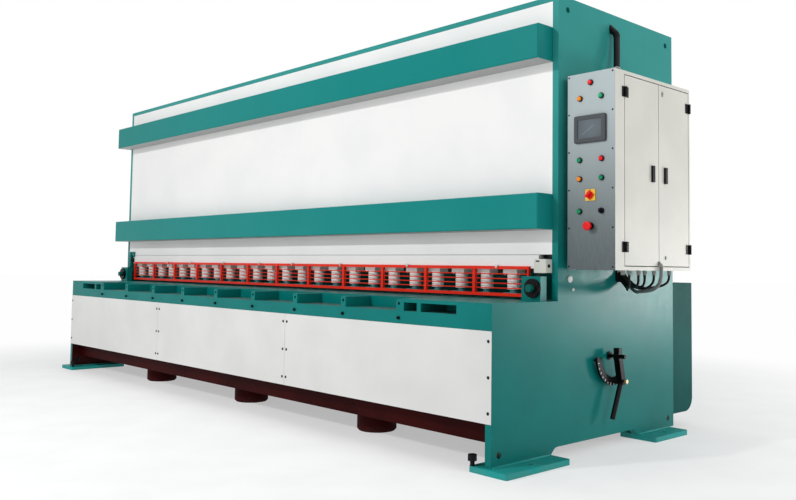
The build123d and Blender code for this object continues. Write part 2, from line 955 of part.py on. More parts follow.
def panel_point(side, row):
    """Place on the control panel: column side -1, 0 or 1, and row."""
    return (panel_x + side * column_pitch / 2, cabinet_bottom + row * row_spread)


start_points = {
    "button_feed": panel_point(-1, row_start),
    "button_halt": panel_point(1, row_start),
    "button_light": panel_point(-1, row_mode),
    "button_pump": panel_point(1, row_mode),
    "button_reset": panel_point(-1, row_selector),
}
lamp_points = [
    (panel_x, panel_point(0, row_top_lamp)[1]),
    (panel_x - lamp_column_pitch / 2, panel_point(0, row_lamps)[1]),
    (panel_x + lamp_column_pitch / 2, panel_point(0, row_lamps)[1]),
]
selector_point = panel_point(1, row_selector)
stop_point = panel_point(0, row_stop)
switch_point = panel_point(0, row_switch)
screen_point = panel_point(0, row_screen)

# Touch screen: rounded bezel with a recessed glass
with BuildPart() as touch_screen:
    with BuildSketch(Plane.XZ.offset(-panel_y)):
        with Locations(screen_point):
            RectangleRounded(screen_width, screen_height, screen_corner_r)
    extrude(amount=screen_depth)
    fillet(touch_screen.faces().sort_by(Axis.Y)[0].edges(), screen_edge_r)
    with BuildSketch(Plane.XZ.offset(-panel_y + screen_depth)):
        with Locations(screen_point):
            RectangleRounded(
                screen_width - 2 * screen_border, screen_height - 2 * screen_border, glass_corner_r
            )
    extrude(amount=-screen_recess, mode=Mode.SUBTRACT)
save(touch_screen, "touch_screen")

# Control bezels: the rings round the lamps, buttons, selector and stop button
with BuildPart() as control_bezels:
    with BuildSketch(Plane.XZ.offset(-panel_y)):
        with Locations(*start_points.values(), *lamp_points, selector_point):
            Circle(bezel_r)
            Circle(bezel_bore_r, mode=Mode.SUBTRACT)
        with Locations(stop_point):
            Circle(stop_bezel_r)
            Circle(stop_bezel_bore_r, mode=Mode.SUBTRACT)
    extrude(amount=bezel_height)
save(control_bezels, "control_bezels")

# Lamps: domed lenses in their rings
with BuildPart() as lamps:
    with BuildSketch(Plane.XZ.offset(-panel_y)):
        with Locations(*lamp_points):
            Circle(cap_r)
    extrude(amount=lamp_length)
    fillet(lamps.edges().filter_by(GeomType.CIRCLE).group_by(Axis.Y)[0], lamp_dome_r)
save(lamps, "lamps")

# Push buttons: short caps that slide in their rings
for name, point in start_points.items():
    with BuildPart() as button:
        with BuildSketch(Plane.XZ.offset(-panel_y + cap_lift)):
            with Locations(point):
                Circle(cap_r)
        extrude(amount=cap_length)
        chamfer(button.edges().filter_by(GeomType.CIRCLE).group_by(Axis.Y)[0], cap_chamfer)
    save(button, name)

# Main switch: square plate with a knob and grip that turns on it
with BuildPart() as main_switch_plate:
    with BuildSketch(Plane.XZ.offset(-panel_y)):
        with Locations(switch_point):
            RectangleRounded(switch_plate, switch_plate, switch_plate_corner_r)
    extrude(amount=switch_plate_depth)
save(main_switch_plate, "main_switch_plate")

with BuildPart() as main_switch_knob:
    knob_back = -panel_y + switch_plate_depth + running_gap
    with BuildSketch(Plane.XZ.offset(knob_back)):
        with Locations(switch_point):
            Circle(switch_knob_r)
    extrude(amount=switch_knob_depth)
    with BuildSketch(Plane.XZ.offset(knob_back + switch_knob_depth)):
        with Locations(switch_point):
            SlotOverall(switch_grip_length, switch_grip_width, rotation=45)
    extrude(amount=switch_grip - switch_knob_depth)
save(main_switch_knob, "main_switch_knob")

# Selector: small knob with a grip, turning in its ring
with BuildPart() as selector_knob:
    with BuildSketch(Plane.XZ.offset(-panel_y + running_gap)):
        with Locations(selector_point):
            Circle(cap_r)
    extrude(amount=bezel_height)
    with BuildSketch(Plane.XZ.offset(-panel_y + running_gap + bezel_height)):
        with Locations(selector_point):
            SlotOverall(selector_grip_length, selector_grip_width, rotation=90)
    extrude(amount=selector_depth - bezel_height)
save(selector_knob, "selector_knob")

# Stop button: mushroom head on a stem that slides in its ring
with BuildPart() as stop_button:
    with BuildSketch(Plane.XZ.offset(-panel_y + stop_travel + stop_clearance)):
        with Locations(stop_point):
            Circle(stop_stem_r)
    extrude(amount=stop_out - stop_head_depth - stop_travel - stop_clearance)
    with BuildSketch(Plane.XZ.offset(-panel_y + stop_out - stop_head_depth)):
        with Locations(stop_point):
            Circle(stop_head_r)
    extrude(amount=stop_head_depth)
    fillet(stop_button.edges().filter_by(GeomType.CIRCLE).group_by(Axis.Y)[0], stop_head_edge_r)
save(stop_button, "stop_button")

# Conduit fittings: the slanting elbow at the side frame's hole, the collar on the cabinet's top and
# the oval plate with slanting nipples that the cables go into
diagonal = math.sin(math.pi / 4)
elbow_reach = elbow_stub * diagonal
elbow_x = half_outer + elbow_reach + elbow_bend * (1 - diagonal)
elbow_z = conduit_z - elbow_reach - elbow_bend * diagonal
down_out = (1, 0, -1)
port_entries = [
    (port_y + column * port_pitch_y, port_z + row * port_pitch_z / 2)
    for column in (-1, 0, 1)
    for row in (-1, 1)
]
with BuildPart() as conduit_fittings:
    with BuildLine() as elbow_route:
        Line(
            (half_outer - elbow_reach, conduit_y, conduit_z + elbow_reach),
            (half_outer + elbow_reach, conduit_y, conduit_z - elbow_reach),
        )
        TangentArc(
            (half_outer + elbow_reach, conduit_y, conduit_z - elbow_reach),
            (elbow_x, conduit_y, elbow_z),
            tangent=down_out,
        )
    with BuildSketch(Plane(origin=elbow_route.wire() @ 0, z_dir=down_out)):
        Circle(elbow_r)
    sweep(path=elbow_route.wire())
    for entry_y, entry_z in port_entries:
        nipple_start = Vector(half_outer + nipple_root, entry_y, entry_z)
        with BuildSketch(Plane(origin=nipple_start, z_dir=down_out)):
            Circle(nipple_r)
        extrude(amount=nipple_out / diagonal)
    span(
        half_inner,
        half_outer,
        conduit_y - elbow_bend,
        conduit_y + elbow_bend,
        conduit_z - elbow_bend,
        conduit_z + 2 * elbow_bend,
        mode=Mode.SUBTRACT,
    )
    with BuildSketch(Plane.XY.offset(cabinet_top)):
        with Locations(conduit_entry):
            Circle(collar_r)
    collar = extrude(amount=collar_length)
    chamfer(conduit_fittings.faces().filter_by(Axis.Z).sort_by(Axis.Z)[1].edges(), collar_chamfer)
    with BuildSketch(Plane.YZ.offset(half_outer)):
        with Locations((port_y, port_z - port_plate_drop)):
            RectangleRounded(port_width, port_height, port_corner_r)
    extrude(amount=port_plate)
save(conduit_fittings, "conduit_fittings")


def elbow(start_x, y, z, stub, bend, radius):
    """Swept elbow: out of a wall along X, then a quarter turn down."""
    with BuildPart() as bent:
        with BuildLine() as route:
            Line((start_x, y, z), (start_x + stub, y, z))
            TangentArc((start_x + stub, y, z), (start_x + stub + bend, y, z - bend), tangent=(1, 0, 0))
        with BuildSketch(Plane.YZ.offset(start_x)):
            with Locations((y, z)):
                Circle(radius)
        sweep(path=route.wire())
    return bent.part


# Cable glands: hexagon glands under the cabinet, and the elbow on the sill between the doors
outlet_x = cabinet_x1 + outlet_stub + outlet_bend
sill_elbow = elbow(cabinet_x1, outlet_y, outlet_z, outlet_stub, outlet_bend, outlet_r)
with BuildPart() as cable_glands:
    with BuildSketch(Plane.XY.offset(cabinet_bottom)):
        with Locations(*[(gland_x, y) for y in gland_places]):
            RegularPolygon(gland_r, 6)
    extrude(amount=-gland_length)
    add(sill_elbow)
    span(
        cabinet_x1 - door_thickness,
        cabinet_x1,
        outlet_y - outlet_r,
        outlet_y + outlet_r,
        door_bottom - door_gap,
        outlet_z + outlet_r,
    )
save(cable_glands, "cable_glands")


def cord_radii(points):
    """Corner radii as large as the runs beside each corner allow."""
    corners = [Vector(*point) for point in points]
    radii = []
    for before, corner, after in zip(corners, corners[1:], corners[2:]):
        run_in = corner - before
        run_out = after - corner
        half_turn = math.radians(run_in.get_angle(run_out)) / 2
        radii.append(0.45 * min(run_in.length, run_out.length) / math.tan(half_turn))
    return radii


def cord(points, radius, name):
    """Round tube along straight runs joined by tangent arcs."""
    radii = cord_radii(points)
    with BuildPart() as tube:
        with BuildLine() as route:
            path = FilletPolyline(*points, radius=radii)
        with BuildSketch(Plane(origin=path @ 0, z_dir=path % 0)):
            Circle(radius)
        sweep()
    length = sum(edge.length for edge in route.edges())
    section = math.pi * radius**2 * length
    print(
        name,
        "length",
        round(length),
        "volume share",
        round(tube.part.volume / section, 4),
        "radii in diameters",
        [round(r / radius / 2, 1) for r in radii],
    )
    save(tube, name)


# Top conduit: corrugated hose from the side frame down into the cabinet
collar_end_z = cabinet_top + collar_length
cord(
    [
        (elbow_x, conduit_y, elbow_z),
        (elbow_x, conduit_y, elbow_z - 46),
        (elbow_x + 4, conduit_y - 6, elbow_z - 98),
        (conduit_entry[0] - 11, conduit_entry[1] + 22, collar_end_z + 133),
        (conduit_entry[0] - 3, conduit_entry[1] + 8, collar_end_z + 88),
        (*conduit_entry, collar_end_z + 45),
        (*conduit_entry, collar_end_z),
    ],
    conduit_r,
    "top_conduit",
)

# Cables under the cabinet: each loops from its gland back to its nipple on the port plate
gland_end_z = cabinet_bottom - gland_length
port_x = half_outer + nipple_root + nipple_out
port_low = port_z - port_pitch_z / 2 - nipple_out
port_high = port_z + port_pitch_z / 2 - nipple_out
port_left = port_y - port_pitch_y
port_right = port_y + port_pitch_y


def loop(gland_y, drops, entry, arrivals):
    """Route from a gland, each drop as back, along and down, to an entry on the port plate."""
    start = [(gland_x - back, gland_y + along, gland_end_z - down) for back, along, down in drops]
    end = [(port_x + out, entry[0] + along, entry[1] - down) for out, along, down in arrivals]
    return start + end


cord(
    loop(
        gland_places[1],
        [(0, 0, 0), (0, 0, 25), (6, 9, 49), (20, 28, 64), (44, 60, 71), (78, 108, 74), (112, 152, 71)],
        (port_left, port_low),
        [(74, -40, 60), (32, 0, 32), (0, 0, 0)],
    ),
    cable_r,
    "cable_feed",
)
cord(
    loop(
        gland_places[2],
        [(0, 0, 0), (0, 0, 25), (8, 8, 49), (26, 22, 64), (54, 45, 70), (90, 74, 68), (124, 103, 60)],
        (port_y, port_low),
        [(66, -24, 40), (30, 0, 30), (0, 0, 0)],
    ),
    cable_r,
    "cable_motor",
)
cord(
    loop(
        gland_places[3],
        [(0, 0, 0), (0, 0, 26), (7, 5, 49), (24, 15, 65), (54, 32, 70), (92, 56, 64)],
        (port_left, port_high),
        [(74, -14, 50), (32, 0, 32), (0, 0, 0)],
    ),
    cable_r,
    "cable_valve",
)
cord(
    loop(
        gland_places[4],
        [(0, 0, 0), (0, 0, 26), (12, 1, 51), (36, 2, 71), (72, 4, 81), (110, 6, 80)],
        (port_y, port_high),
        [(66, -2, 62), (32, 0, 32), (0, 0, 0)],
    ),
    cable_r,
    "cable_sensor",
)
cord(
    loop(
        gland_places[5],
        [(0, 0, 0), (0, 0, 25), (10, -9, 47), (30, -27, 63), (62, -55, 73), (98, -84, 78)],
        (port_right, port_high),
        [(92, 14, 72), (60, 4, 56), (32, 0, 32), (0, 0, 0)],
    ),
    cable_r,
    "cable_drive",
)

# Grey conduit: hangs from the outlet between the doors, in front of the cables, to the port plate
outlet_low = outlet_z - outlet_bend
cord(
    [
        (outlet_x, outlet_y, outlet_low),
        (outlet_x, outlet_y, outlet_low - 42),
        (outlet_x - 8, outlet_y + 3, outlet_low - 84),
        (outlet_x - 34, outlet_y + 12, outlet_low - 116),
        (outlet_x - 78, outlet_y + 28, outlet_low - 134),
        (outlet_x - 130, outlet_y + 48, outlet_low - 142),
        (outlet_x - 186, outlet_y + 70, outlet_low - 146),
        (port_x + 110, port_right - 42, port_low - 68),
        (port_x + 66, port_right - 10, port_low - 58),
        (port_x + 34, port_right, port_low - 34),
        (port_x, port_right, port_low),
    ],
    outlet_r,
    "cable_grey",
)

# Gap quadrant: arc plate on two posts, with the spindle's bearing and disc
quadrant_x = half_outer + quadrant_standoff
head_x = quadrant_x + quadrant_plate + head_clearance
with BuildPart() as gap_quadrant:
    inner = quadrant_r - quadrant_width / 2
    outer = quadrant_r + quadrant_width / 2
    with BuildSketch(Plane.YZ.offset(quadrant_x)):
        with BuildLine():
            low = 270 + quadrant_end
            CenterArc((lever_y, lever_z), inner, 180, 90 + quadrant_end)
            CenterArc((lever_y, lever_z), outer, 180, 90 + quadrant_end)
            Line((lever_y - outer, lever_z), (lever_y - inner, lever_z))
            Line(
                (
                    lever_y + inner * math.cos(math.radians(low)),
                    lever_z + inner * math.sin(math.radians(low)),
                ),
                (
                    lever_y + outer * math.cos(math.radians(low)),
                    lever_z + outer * math.sin(math.radians(low)),
                ),
            )
        make_face()
    extrude(amount=quadrant_plate)
    with BuildSketch(Plane.YZ.offset(half_outer)):
        with Locations((lever_y, lever_z)):
            with PolarLocations(quadrant_r, 2, post_angle, post_spread, endpoint=True):
                Circle(post_r)
    extrude(amount=quadrant_standoff)
    with BuildSketch(Plane.YZ.offset(half_outer)):
        with Locations((lever_y, lever_z)):
            Circle(bearing_r)
    extrude(amount=quadrant_standoff)
    with BuildSketch(Plane.YZ.offset(half_outer)):
        with Locations((lever_y, lever_z)):
            Circle(disc_r)
    extrude(amount=disc_depth)
save(gap_quadrant, "gap_quadrant")

# Gap lever: head on the spindle, leaning arm, clamp boss with its screw and tip, and round grip
clamp_y = lever_y + arm_lean
clamp_z = lever_z - math.sqrt(clamp_radius**2 - arm_lean**2)
with BuildPart() as gap_lever:
    with BuildSketch(Plane.YZ.offset(quadrant_x + running_gap)):
        with Locations((lever_y, lever_z)):
            Circle(spindle_r)
    extrude(amount=head_x - quadrant_x)
    with BuildSketch(Plane.YZ.offset(head_x)):
        with Locations((lever_y, lever_z)):
            Circle(head_boss_r)
        with Locations((lever_y, lever_z + (head_above - head_below) / 2)):
            RectangleRounded(head_width, head_above + head_below, head_corner_r)
    extrude(amount=head_depth)
    with BuildSketch(Plane.YZ.offset(head_x + head_depth)):
        with Locations((lever_y, lever_z)):
            Circle(shaft_end_r)
    extrude(amount=shaft_end_length)
    with BuildSketch(Plane.YZ.offset(head_x)):
        with BuildLine():
            Polyline(
                (lever_y - arm_width / 2, lever_z),
                (clamp_y - arm_width / 2, clamp_z),
                (clamp_y + arm_width / 2, clamp_z),
                (lever_y + arm_width / 2, lever_z),
                close=True,
            )
        make_face()
    extrude(amount=arm_depth)
    with BuildSketch(Plane.YZ.offset(head_x)):
        with Locations((clamp_y, clamp_z)):
            Circle(clamp_boss_r)
    extrude(amount=clamp_boss_depth)
    with BuildSketch(Plane.YZ.offset(head_x + clamp_boss_depth)):
        with Locations((clamp_y, clamp_z)):
            Circle(clamp_screw_r)
    extrude(amount=clamp_screw_length)
    with BuildSketch(Plane.YZ.offset(head_x + clamp_boss_depth + clamp_screw_length)):
        with Locations((clamp_y, clamp_z)):
            Circle(screw_tip_r)
    extrude(amount=screw_tip_length)
    grip_start = Vector(head_x + clamp_boss_depth / 2, clamp_y, clamp_z)
    grip_way = Vector(0, -grip_lean, -math.sqrt(grip_length**2 - grip_lean**2))
    with BuildSketch(Plane(origin=grip_start, x_dir=(1, 0, 0), z_dir=grip_way)):
        Circle(grip_r)
    extrude(amount=grip_length)
    fillet(gap_lever.edges().filter_by(GeomType.CIRCLE).sort_by(Axis.Z)[0], grip_edge_r)
save(gap_lever, "gap_lever")
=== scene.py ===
# %% [markdown]
# # Hydraulic shearing machine, dressed for its portrait
#
# The solids of this machine come packed as a fixed frame. This notebook gives them paint, rubber, glass and steel, adds
# the small things that a plate model leaves out, such as screws, hose rings and weld beads, and sets up the camera and
# the studio. Every length is in metres. X runs along the machine to the operator's right, Y to the rear and Z up, from
# the floor between the four anchor holes.

# %% Load the frame
import math

import bmesh
import bpy
from mathutils import Matrix, Vector


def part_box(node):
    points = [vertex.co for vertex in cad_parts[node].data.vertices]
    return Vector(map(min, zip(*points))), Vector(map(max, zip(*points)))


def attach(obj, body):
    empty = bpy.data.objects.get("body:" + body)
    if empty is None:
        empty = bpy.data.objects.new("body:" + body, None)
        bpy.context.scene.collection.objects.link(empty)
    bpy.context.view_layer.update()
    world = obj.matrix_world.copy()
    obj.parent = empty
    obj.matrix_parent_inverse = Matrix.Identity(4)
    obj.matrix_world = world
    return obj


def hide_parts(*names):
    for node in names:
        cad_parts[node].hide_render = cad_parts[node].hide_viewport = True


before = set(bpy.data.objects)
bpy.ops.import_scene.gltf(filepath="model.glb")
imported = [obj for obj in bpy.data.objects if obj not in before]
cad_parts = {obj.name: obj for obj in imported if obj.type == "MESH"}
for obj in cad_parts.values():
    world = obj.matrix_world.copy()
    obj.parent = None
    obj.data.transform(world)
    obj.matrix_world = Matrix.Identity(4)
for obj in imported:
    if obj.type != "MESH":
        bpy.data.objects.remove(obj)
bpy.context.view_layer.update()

# %% [markdown]
# ## Camera
#
# The machine was seen from its right front corner, about four metres off and a metre above the floor. A lens that sees
# the same rays needs the viewing direction, a small roll of the horizon, the focal length, and a shift, because the
# middle of the picture isn't on the lens's axis. The rotation is built from three axes, which is easier to read than
# three angles.

# %% Camera
VIEW_PLACE = (5.464, -4.067, 1.030)
VIEW_YAW = math.radians(46.66)
VIEW_PITCH = math.radians(3.39)
VIEW_ROLL = math.radians(0.76)
FOCAL_PIXELS = 831.3
FRAME_PIXELS = (796, 500)
AXIS_PIXEL = (411.9, 217.3)
SENSOR_WIDTH = 36

ahead = math.cos(VIEW_PITCH)
gaze = Vector((-math.sin(VIEW_YAW) * ahead, math.cos(VIEW_YAW) * ahead, math.sin(VIEW_PITCH)))
level = Vector((math.cos(VIEW_YAW), math.sin(VIEW_YAW), 0))
upright = level.cross(gaze)
rolled_x = math.cos(VIEW_ROLL) * level + math.sin(VIEW_ROLL) * upright
rolled_y = -math.sin(VIEW_ROLL) * level + math.cos(VIEW_ROLL) * upright

lens = bpy.data.cameras.new("camera")
lens.sensor_width = SENSOR_WIDTH
lens.lens = FOCAL_PIXELS / FRAME_PIXELS[0] * SENSOR_WIDTH
lens.shift_x = (FRAME_PIXELS[0] / 2 - AXIS_PIXEL[0]) / FRAME_PIXELS[0]
lens.shift_y = (AXIS_PIXEL[1] - FRAME_PIXELS[1] / 2) / FRAME_PIXELS[0]
lens.clip_end = 200
camera = bpy.data.objects.new("camera", lens)
bpy.context.scene.collection.objects.link(camera)
turn = Matrix((rolled_x, rolled_y, -gaze)).transposed().to_4x4()
camera.matrix_world = Matrix.Translation(VIEW_PLACE) @ turn
bpy.context.scene.camera = camera
print("lens", round(lens.lens, 2), "shift", round(lens.shift_x, 4), round(lens.shift_y, 4))

# %% [markdown]
# ## Cords
#
# A corrugated hose drops from the side frame into the cabinet. Under the cabinet five cables loop from their glands to
# an oval plate on the side frame, and one grey conduit hangs from its outlet between the doors to the same plate. Each
# is a NURBS curve whose control points are the corners of its route, so that it bends like rubber and not like wire.
# The sheath is the curve's own round bevel.

# %% Cord routes
ELBOW = Vector((2.732, 0.176, 2.4154))
ENTRY = Vector((2.755, 0.136, 2.133))
GLAND_X, GLAND_Z = 2.930, 0.999
PORT_X = 2.716
PORT_LEFT, PORT_MIDDLE, PORT_RIGHT = 0.240, 0.262, 0.284
PORT_LOW, PORT_HIGH = 0.964, 0.996
OUTLET = Vector((3.042, 0.138, 1.048))
HOSE_DIAMETER, CABLE_DIAMETER, CONDUIT_DIAMETER = 0.038, 0.014, 0.020


def chain(start, *steps):
    """Points given by their steps from a start, in X, Y and Z."""
    return [tuple(Vector(start) + Vector(step)) for step in steps]


def loop(gland_y, drops, entry, arrivals):
    """A cable's points: drops from its gland, then arrivals at its entry in the port plate.

    Each drop counts back to the side frame, along it and down. Each arrival counts out, along and down.
    """
    gland = (GLAND_X, gland_y, GLAND_Z)
    port = (PORT_X, *entry)
    hanging = chain(gland, *((-back, along, -down) for back, along, down in drops))
    rising = chain(port, *((out, along, -down) for out, along, down in arrivals))
    return hanging + rising


ROUTES = {
    "top_conduit": (HOSE_DIAMETER, chain(
        ELBOW, (0, 0, 0), (0, 0, -0.046), (0.004, -0.006, -0.098),
    ) + chain(
        ENTRY, (-0.011, 0.022, 0.133), (-0.003, 0.008, 0.088), (0, 0, 0.045), (0, 0, 0),
    )),
    "cable_feed": (CABLE_DIAMETER, loop(
        -0.010, [(0, 0, 0), (0, 0, 0.025), (0.006, 0.009, 0.049), (0.020, 0.028, 0.064), (0.044, 0.060, 0.071),
                 (0.078, 0.108, 0.074), (0.112, 0.152, 0.071)],
        (PORT_LEFT, PORT_LOW), [(0.074, -0.040, 0.060), (0.032, 0, 0.032), (0, 0, 0)])),
    "cable_motor": (CABLE_DIAMETER, loop(
        0.085, [(0, 0, 0), (0, 0, 0.025), (0.008, 0.008, 0.049), (0.026, 0.022, 0.064), (0.054, 0.045, 0.070),
                (0.090, 0.074, 0.068), (0.124, 0.103, 0.060)],
        (PORT_MIDDLE, PORT_LOW), [(0.066, -0.024, 0.040), (0.030, 0, 0.030), (0, 0, 0)])),
    "cable_valve": (CABLE_DIAMETER, loop(
        0.150, [(0, 0, 0), (0, 0, 0.026), (0.007, 0.005, 0.049), (0.024, 0.015, 0.065), (0.054, 0.032, 0.070),
                (0.092, 0.056, 0.064)],
        (PORT_LEFT, PORT_HIGH), [(0.074, -0.014, 0.050), (0.032, 0, 0.032), (0, 0, 0)])),
    "cable_sensor": (CABLE_DIAMETER, loop(
        0.250, [(0, 0, 0), (0, 0, 0.026), (0.012, 0.001, 0.051), (0.036, 0.002, 0.071), (0.072, 0.004, 0.081),
                (0.110, 0.006, 0.080)],
        (PORT_MIDDLE, PORT_HIGH), [(0.066, -0.002, 0.062), (0.032, 0, 0.032), (0, 0, 0)])),
    "cable_drive": (CABLE_DIAMETER, loop(
        0.420, [(0, 0, 0), (0, 0, 0.025), (0.010, -0.009, 0.047), (0.030, -0.027, 0.063), (0.062, -0.055, 0.073),
                (0.098, -0.084, 0.078)],
        (PORT_RIGHT, PORT_HIGH), [(0.092, 0.014, 0.072), (0.060, 0.004, 0.056), (0.032, 0, 0.032), (0, 0, 0)])),
    "cable_grey": (CONDUIT_DIAMETER, chain(
        OUTLET, (0, 0, 0), (0, 0, -0.042), (-0.008, 0.003, -0.084), (-0.034, 0.012, -0.116), (-0.078, 0.028, -0.134),
        (-0.130, 0.048, -0.142), (-0.186, 0.070, -0.146),
    ) + chain(
        (PORT_X, PORT_RIGHT, PORT_LOW), (0.110, -0.042, -0.068), (0.066, -0.010, -0.058), (0.034, 0, -0.034), (0, 0, 0),
    )),
}


def nurbs_curve(name, points, diameter):
    """A smooth open curve with a round section."""
    data = bpy.data.curves.new(name, "CURVE")
    data.dimensions = "3D"
    data.resolution_u = 8
    data.bevel_depth = diameter / 2
    data.bevel_resolution = 4
    line = data.splines.new("NURBS")
    line.points.add(len(points) - 1)
    for point, place in zip(line.points, points):
        point.co = (*place, 1)
    line.order_u = 3
    line.use_endpoint_u = True
    piece = bpy.data.objects.new(name, data)
    bpy.context.scene.collection.objects.link(piece)
    return piece


def centre_line(name, points):
    """Closely spaced places along the smooth curve, read from it without its bevel."""
    bare = nurbs_curve(name, points, 0)
    bare.data.resolution_u = 16
    mesh = bpy.data.meshes.new_from_object(bare)
    places = [v.co.copy() for v in mesh.vertices]
    bpy.data.objects.remove(bare)
    bpy.data.meshes.remove(mesh)
    return places


cords = {}
for name, (diameter, points) in ROUTES.items():
    centre_line(name + "_line", points)
    cords[name] = nurbs_curve(name + "_sheath", points, diameter)
    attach(cords[name], "machine")
    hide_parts(name)

# %% [markdown]
# ## Shader sums as Python
#
# Every finish below is a small node tree. Writing each link by hand hides the idea, so one class wraps an output socket
# and gives it arithmetic and comparison, and a finish has one method that adds any other node. `mask * 0.5 + 0.2` then
# reads as it would on paper.

# %% Wires and finishes
class Wire:
    """An output socket that can be added, multiplied and compared."""

    def __init__(self, finish, socket):
        self.finish = finish
        self.socket = socket

    def sum(self, operation, *values):
        return self.finish.node("ShaderNodeMath", {"operation": operation}, dict(enumerate(values)))

    def __add__(self, other):
        return self.sum("ADD", self, other)

    def __radd__(self, other):
        return self.sum("ADD", other, self)

    def __sub__(self, other):
        return self.sum("SUBTRACT", self, other)

    def __rsub__(self, other):
        return self.sum("SUBTRACT", other, self)

    def __mul__(self, other):
        return self.sum("MULTIPLY", self, other)

    def __gt__(self, other):
        return self.sum("GREATER_THAN", self, other)

    def __lt__(self, other):
        return self.sum("LESS_THAN", self, other)

    def __abs__(self):
        return self.sum("ABSOLUTE", self)

    def between(self, low, high):
        """0 below low, 1 above high, and smooth from one to the other."""
        return self.finish.node(
            "ShaderNodeMapRange", {"interpolation_type": "SMOOTHSTEP"}, {0: self, 1: low, 2: high})


class Finish:
    """A material under construction, with the place on the object at hand."""

    def __init__(self, name):
        self.material = bpy.data.materials.new(name)
        self.material.use_nodes = True
        self.tree = self.material.node_tree
        self.shader = self.tree.nodes["Principled BSDF"]
        self.place = self.node("ShaderNodeTexCoord", out="Object")
        self.x, self.y, self.z = (
            self.node("ShaderNodeSeparateXYZ", sockets={0: self.place}, out=axis) for axis in "XYZ")

    def node(self, kind, settings=None, sockets=None, out=0):
        """Add a node, first its settings, then its sockets, and give back one of its outputs."""
        made = self.tree.nodes.new(kind)
        for key, value in (settings or {}).items():
            setattr(made, key, value)
        for key, value in (sockets or {}).items():
            self.feed(made.inputs[key], value)
        return Wire(self, made.outputs[out])

    def feed(self, socket, value):
        """Link a wire to a socket, or set the socket's own value."""
        if isinstance(value, Wire):
            self.tree.links.new(value.socket, socket)
        elif socket.type == "RGBA" and len(value) == 3:
            socket.default_value = (*value, 1)
        else:
            socket.default_value = value

    def set(self, **sockets):
        """Set sockets of the shader; an underscore in a name stands for a space."""
        for key, value in sockets.items():
            self.feed(self.shader.inputs[key.replace("_", " ")], value)
        return self

    def noise(self, scale, detail, stretch=None):
        """Soft noise with a number of cells to the metre, times the stretch along each axis if one is given."""
        place = self.place
        if stretch:
            place = self.node("ShaderNodeMapping", sockets={0: place, 3: stretch})
        return self.node("ShaderNodeTexNoise", sockets={"Vector": place, "Scale": scale, "Detail": detail})

    def mix(self, first, second, share):
        """The first colour where share is 0, the second where it is 1."""
        return self.node("ShaderNodeMix", {"data_type": "RGBA"}, {0: share, 6: first, 7: second}, out=2)

    def relief(self, height, depth):
        """Bump of a height from 0 to 1, with the depth in metres."""
        bump = self.node("ShaderNodeBump", sockets={"Height": height, "Distance": depth, "Strength": 1.0})
        return self.set(Normal=bump)


def inside(wire, low, high):
    """1 where a coordinate lies between two values."""
    return (wire > low) * (wire < high)


# %% [markdown]
# ## Paint
#
# Machine paint is sprayed enamel: one colour, faintly mottled, with the fine waves known as orange peel, and dust where
# feet and wheels pass. The mottling is slow noise between two nearby colours, the orange peel is fast noise that only
# feeds the bump, and the dust comes in below a height. Some teals turn to another colour high up, which is painted
# light and shade for how the light falls there. The teal, the whites, the red and the primer all share this recipe with
# their own numbers.

# %% Painted finishes
DUST, DUST_HEIGHT = (0.20, 0.20, 0.18), 0.10
PAINTED_LIGHT_FROM, PAINTED_LIGHT_FULL = 0.75, 2.0
UPPER_BEAM_MIDDLE, UPPER_BEAM_LOW, LOWER_BEAM_LOW = 2.10, 2.1872, 1.2442
END_BLOCK_SIDE = 2.6396
FRAME_INNER_FACE, PRIMER_SHADE_BELOW = 2.6525, 0.62
LEDGE_TOP, BAND_BACK = 0.7828, -0.8892


def enamel(name, colour, shade, roughness, peel=0.00025, dust=DUST, specular=0.5, painted_light_aloft=None):
    """Sprayed paint between a colour and a shade of it; painted_light_aloft is its colour high up, painted light and
    shade.
    """
    finish = Finish(name)
    if painted_light_aloft:
        # High up the colour turns to painted_light_aloft: painted light and shade for how the light falls there.
        painted_light_share = finish.z.between(PAINTED_LIGHT_FROM, PAINTED_LIGHT_FULL)
        colour, shade = finish.mix(colour, painted_light_aloft, painted_light_share), finish.mix(shade, painted_light_aloft, painted_light_share * 0.8)
    mottling = finish.noise(2.3, 4).between(0.35, 0.68)
    dusty = (finish.noise(9, 5) * (1 - finish.z.between(0.0, DUST_HEIGHT))).between(0.22, 0.55)
    finish.body = finish.mix(finish.mix(colour, shade, mottling), dust, dusty * 0.15)
    finish.set(Base_Color=finish.body, Specular_IOR_Level=specular)
    finish.set(Roughness=roughness + finish.noise(31, 3) * 0.12 + dusty * 0.2 - 0.06)
    return finish.relief(finish.noise(420, 1), peel)


# The teal is painted lighter high up, as painted light for the stronger light there.
TEAL = {"colour": (0.001, 0.166, 0.153), "shade": (0.000, 0.146, 0.135), "painted_light_aloft": (0.028, 0.262, 0.244),
        "specular": 0.10}
teal = enamel("teal_enamel", **TEAL, roughness=0.38)

# The beams are folded sheet in a lighter teal that turns darker high up, painted light and shade, with undersides
# painted grey as a painted reflection of the white cover. The zones are heights, so only they turn grey.
beam_teal = enamel("beam_teal", (0.010, 0.240, 0.224), (0.006, 0.220, 0.206), 0.38, specular=0.10,
                   painted_light_aloft=(0.002, 0.186, 0.174))
# Painted reflection: the beams' undersides are painted grey for the white cover that they reflect.
painted_reflection_underside = inside(beam_teal.z, UPPER_BEAM_MIDDLE, UPPER_BEAM_LOW) + (beam_teal.z < LOWER_BEAM_LOW)
beam_teal.set(Base_Color=beam_teal.mix(beam_teal.body, (0.370, 0.372, 0.368), painted_reflection_underside))
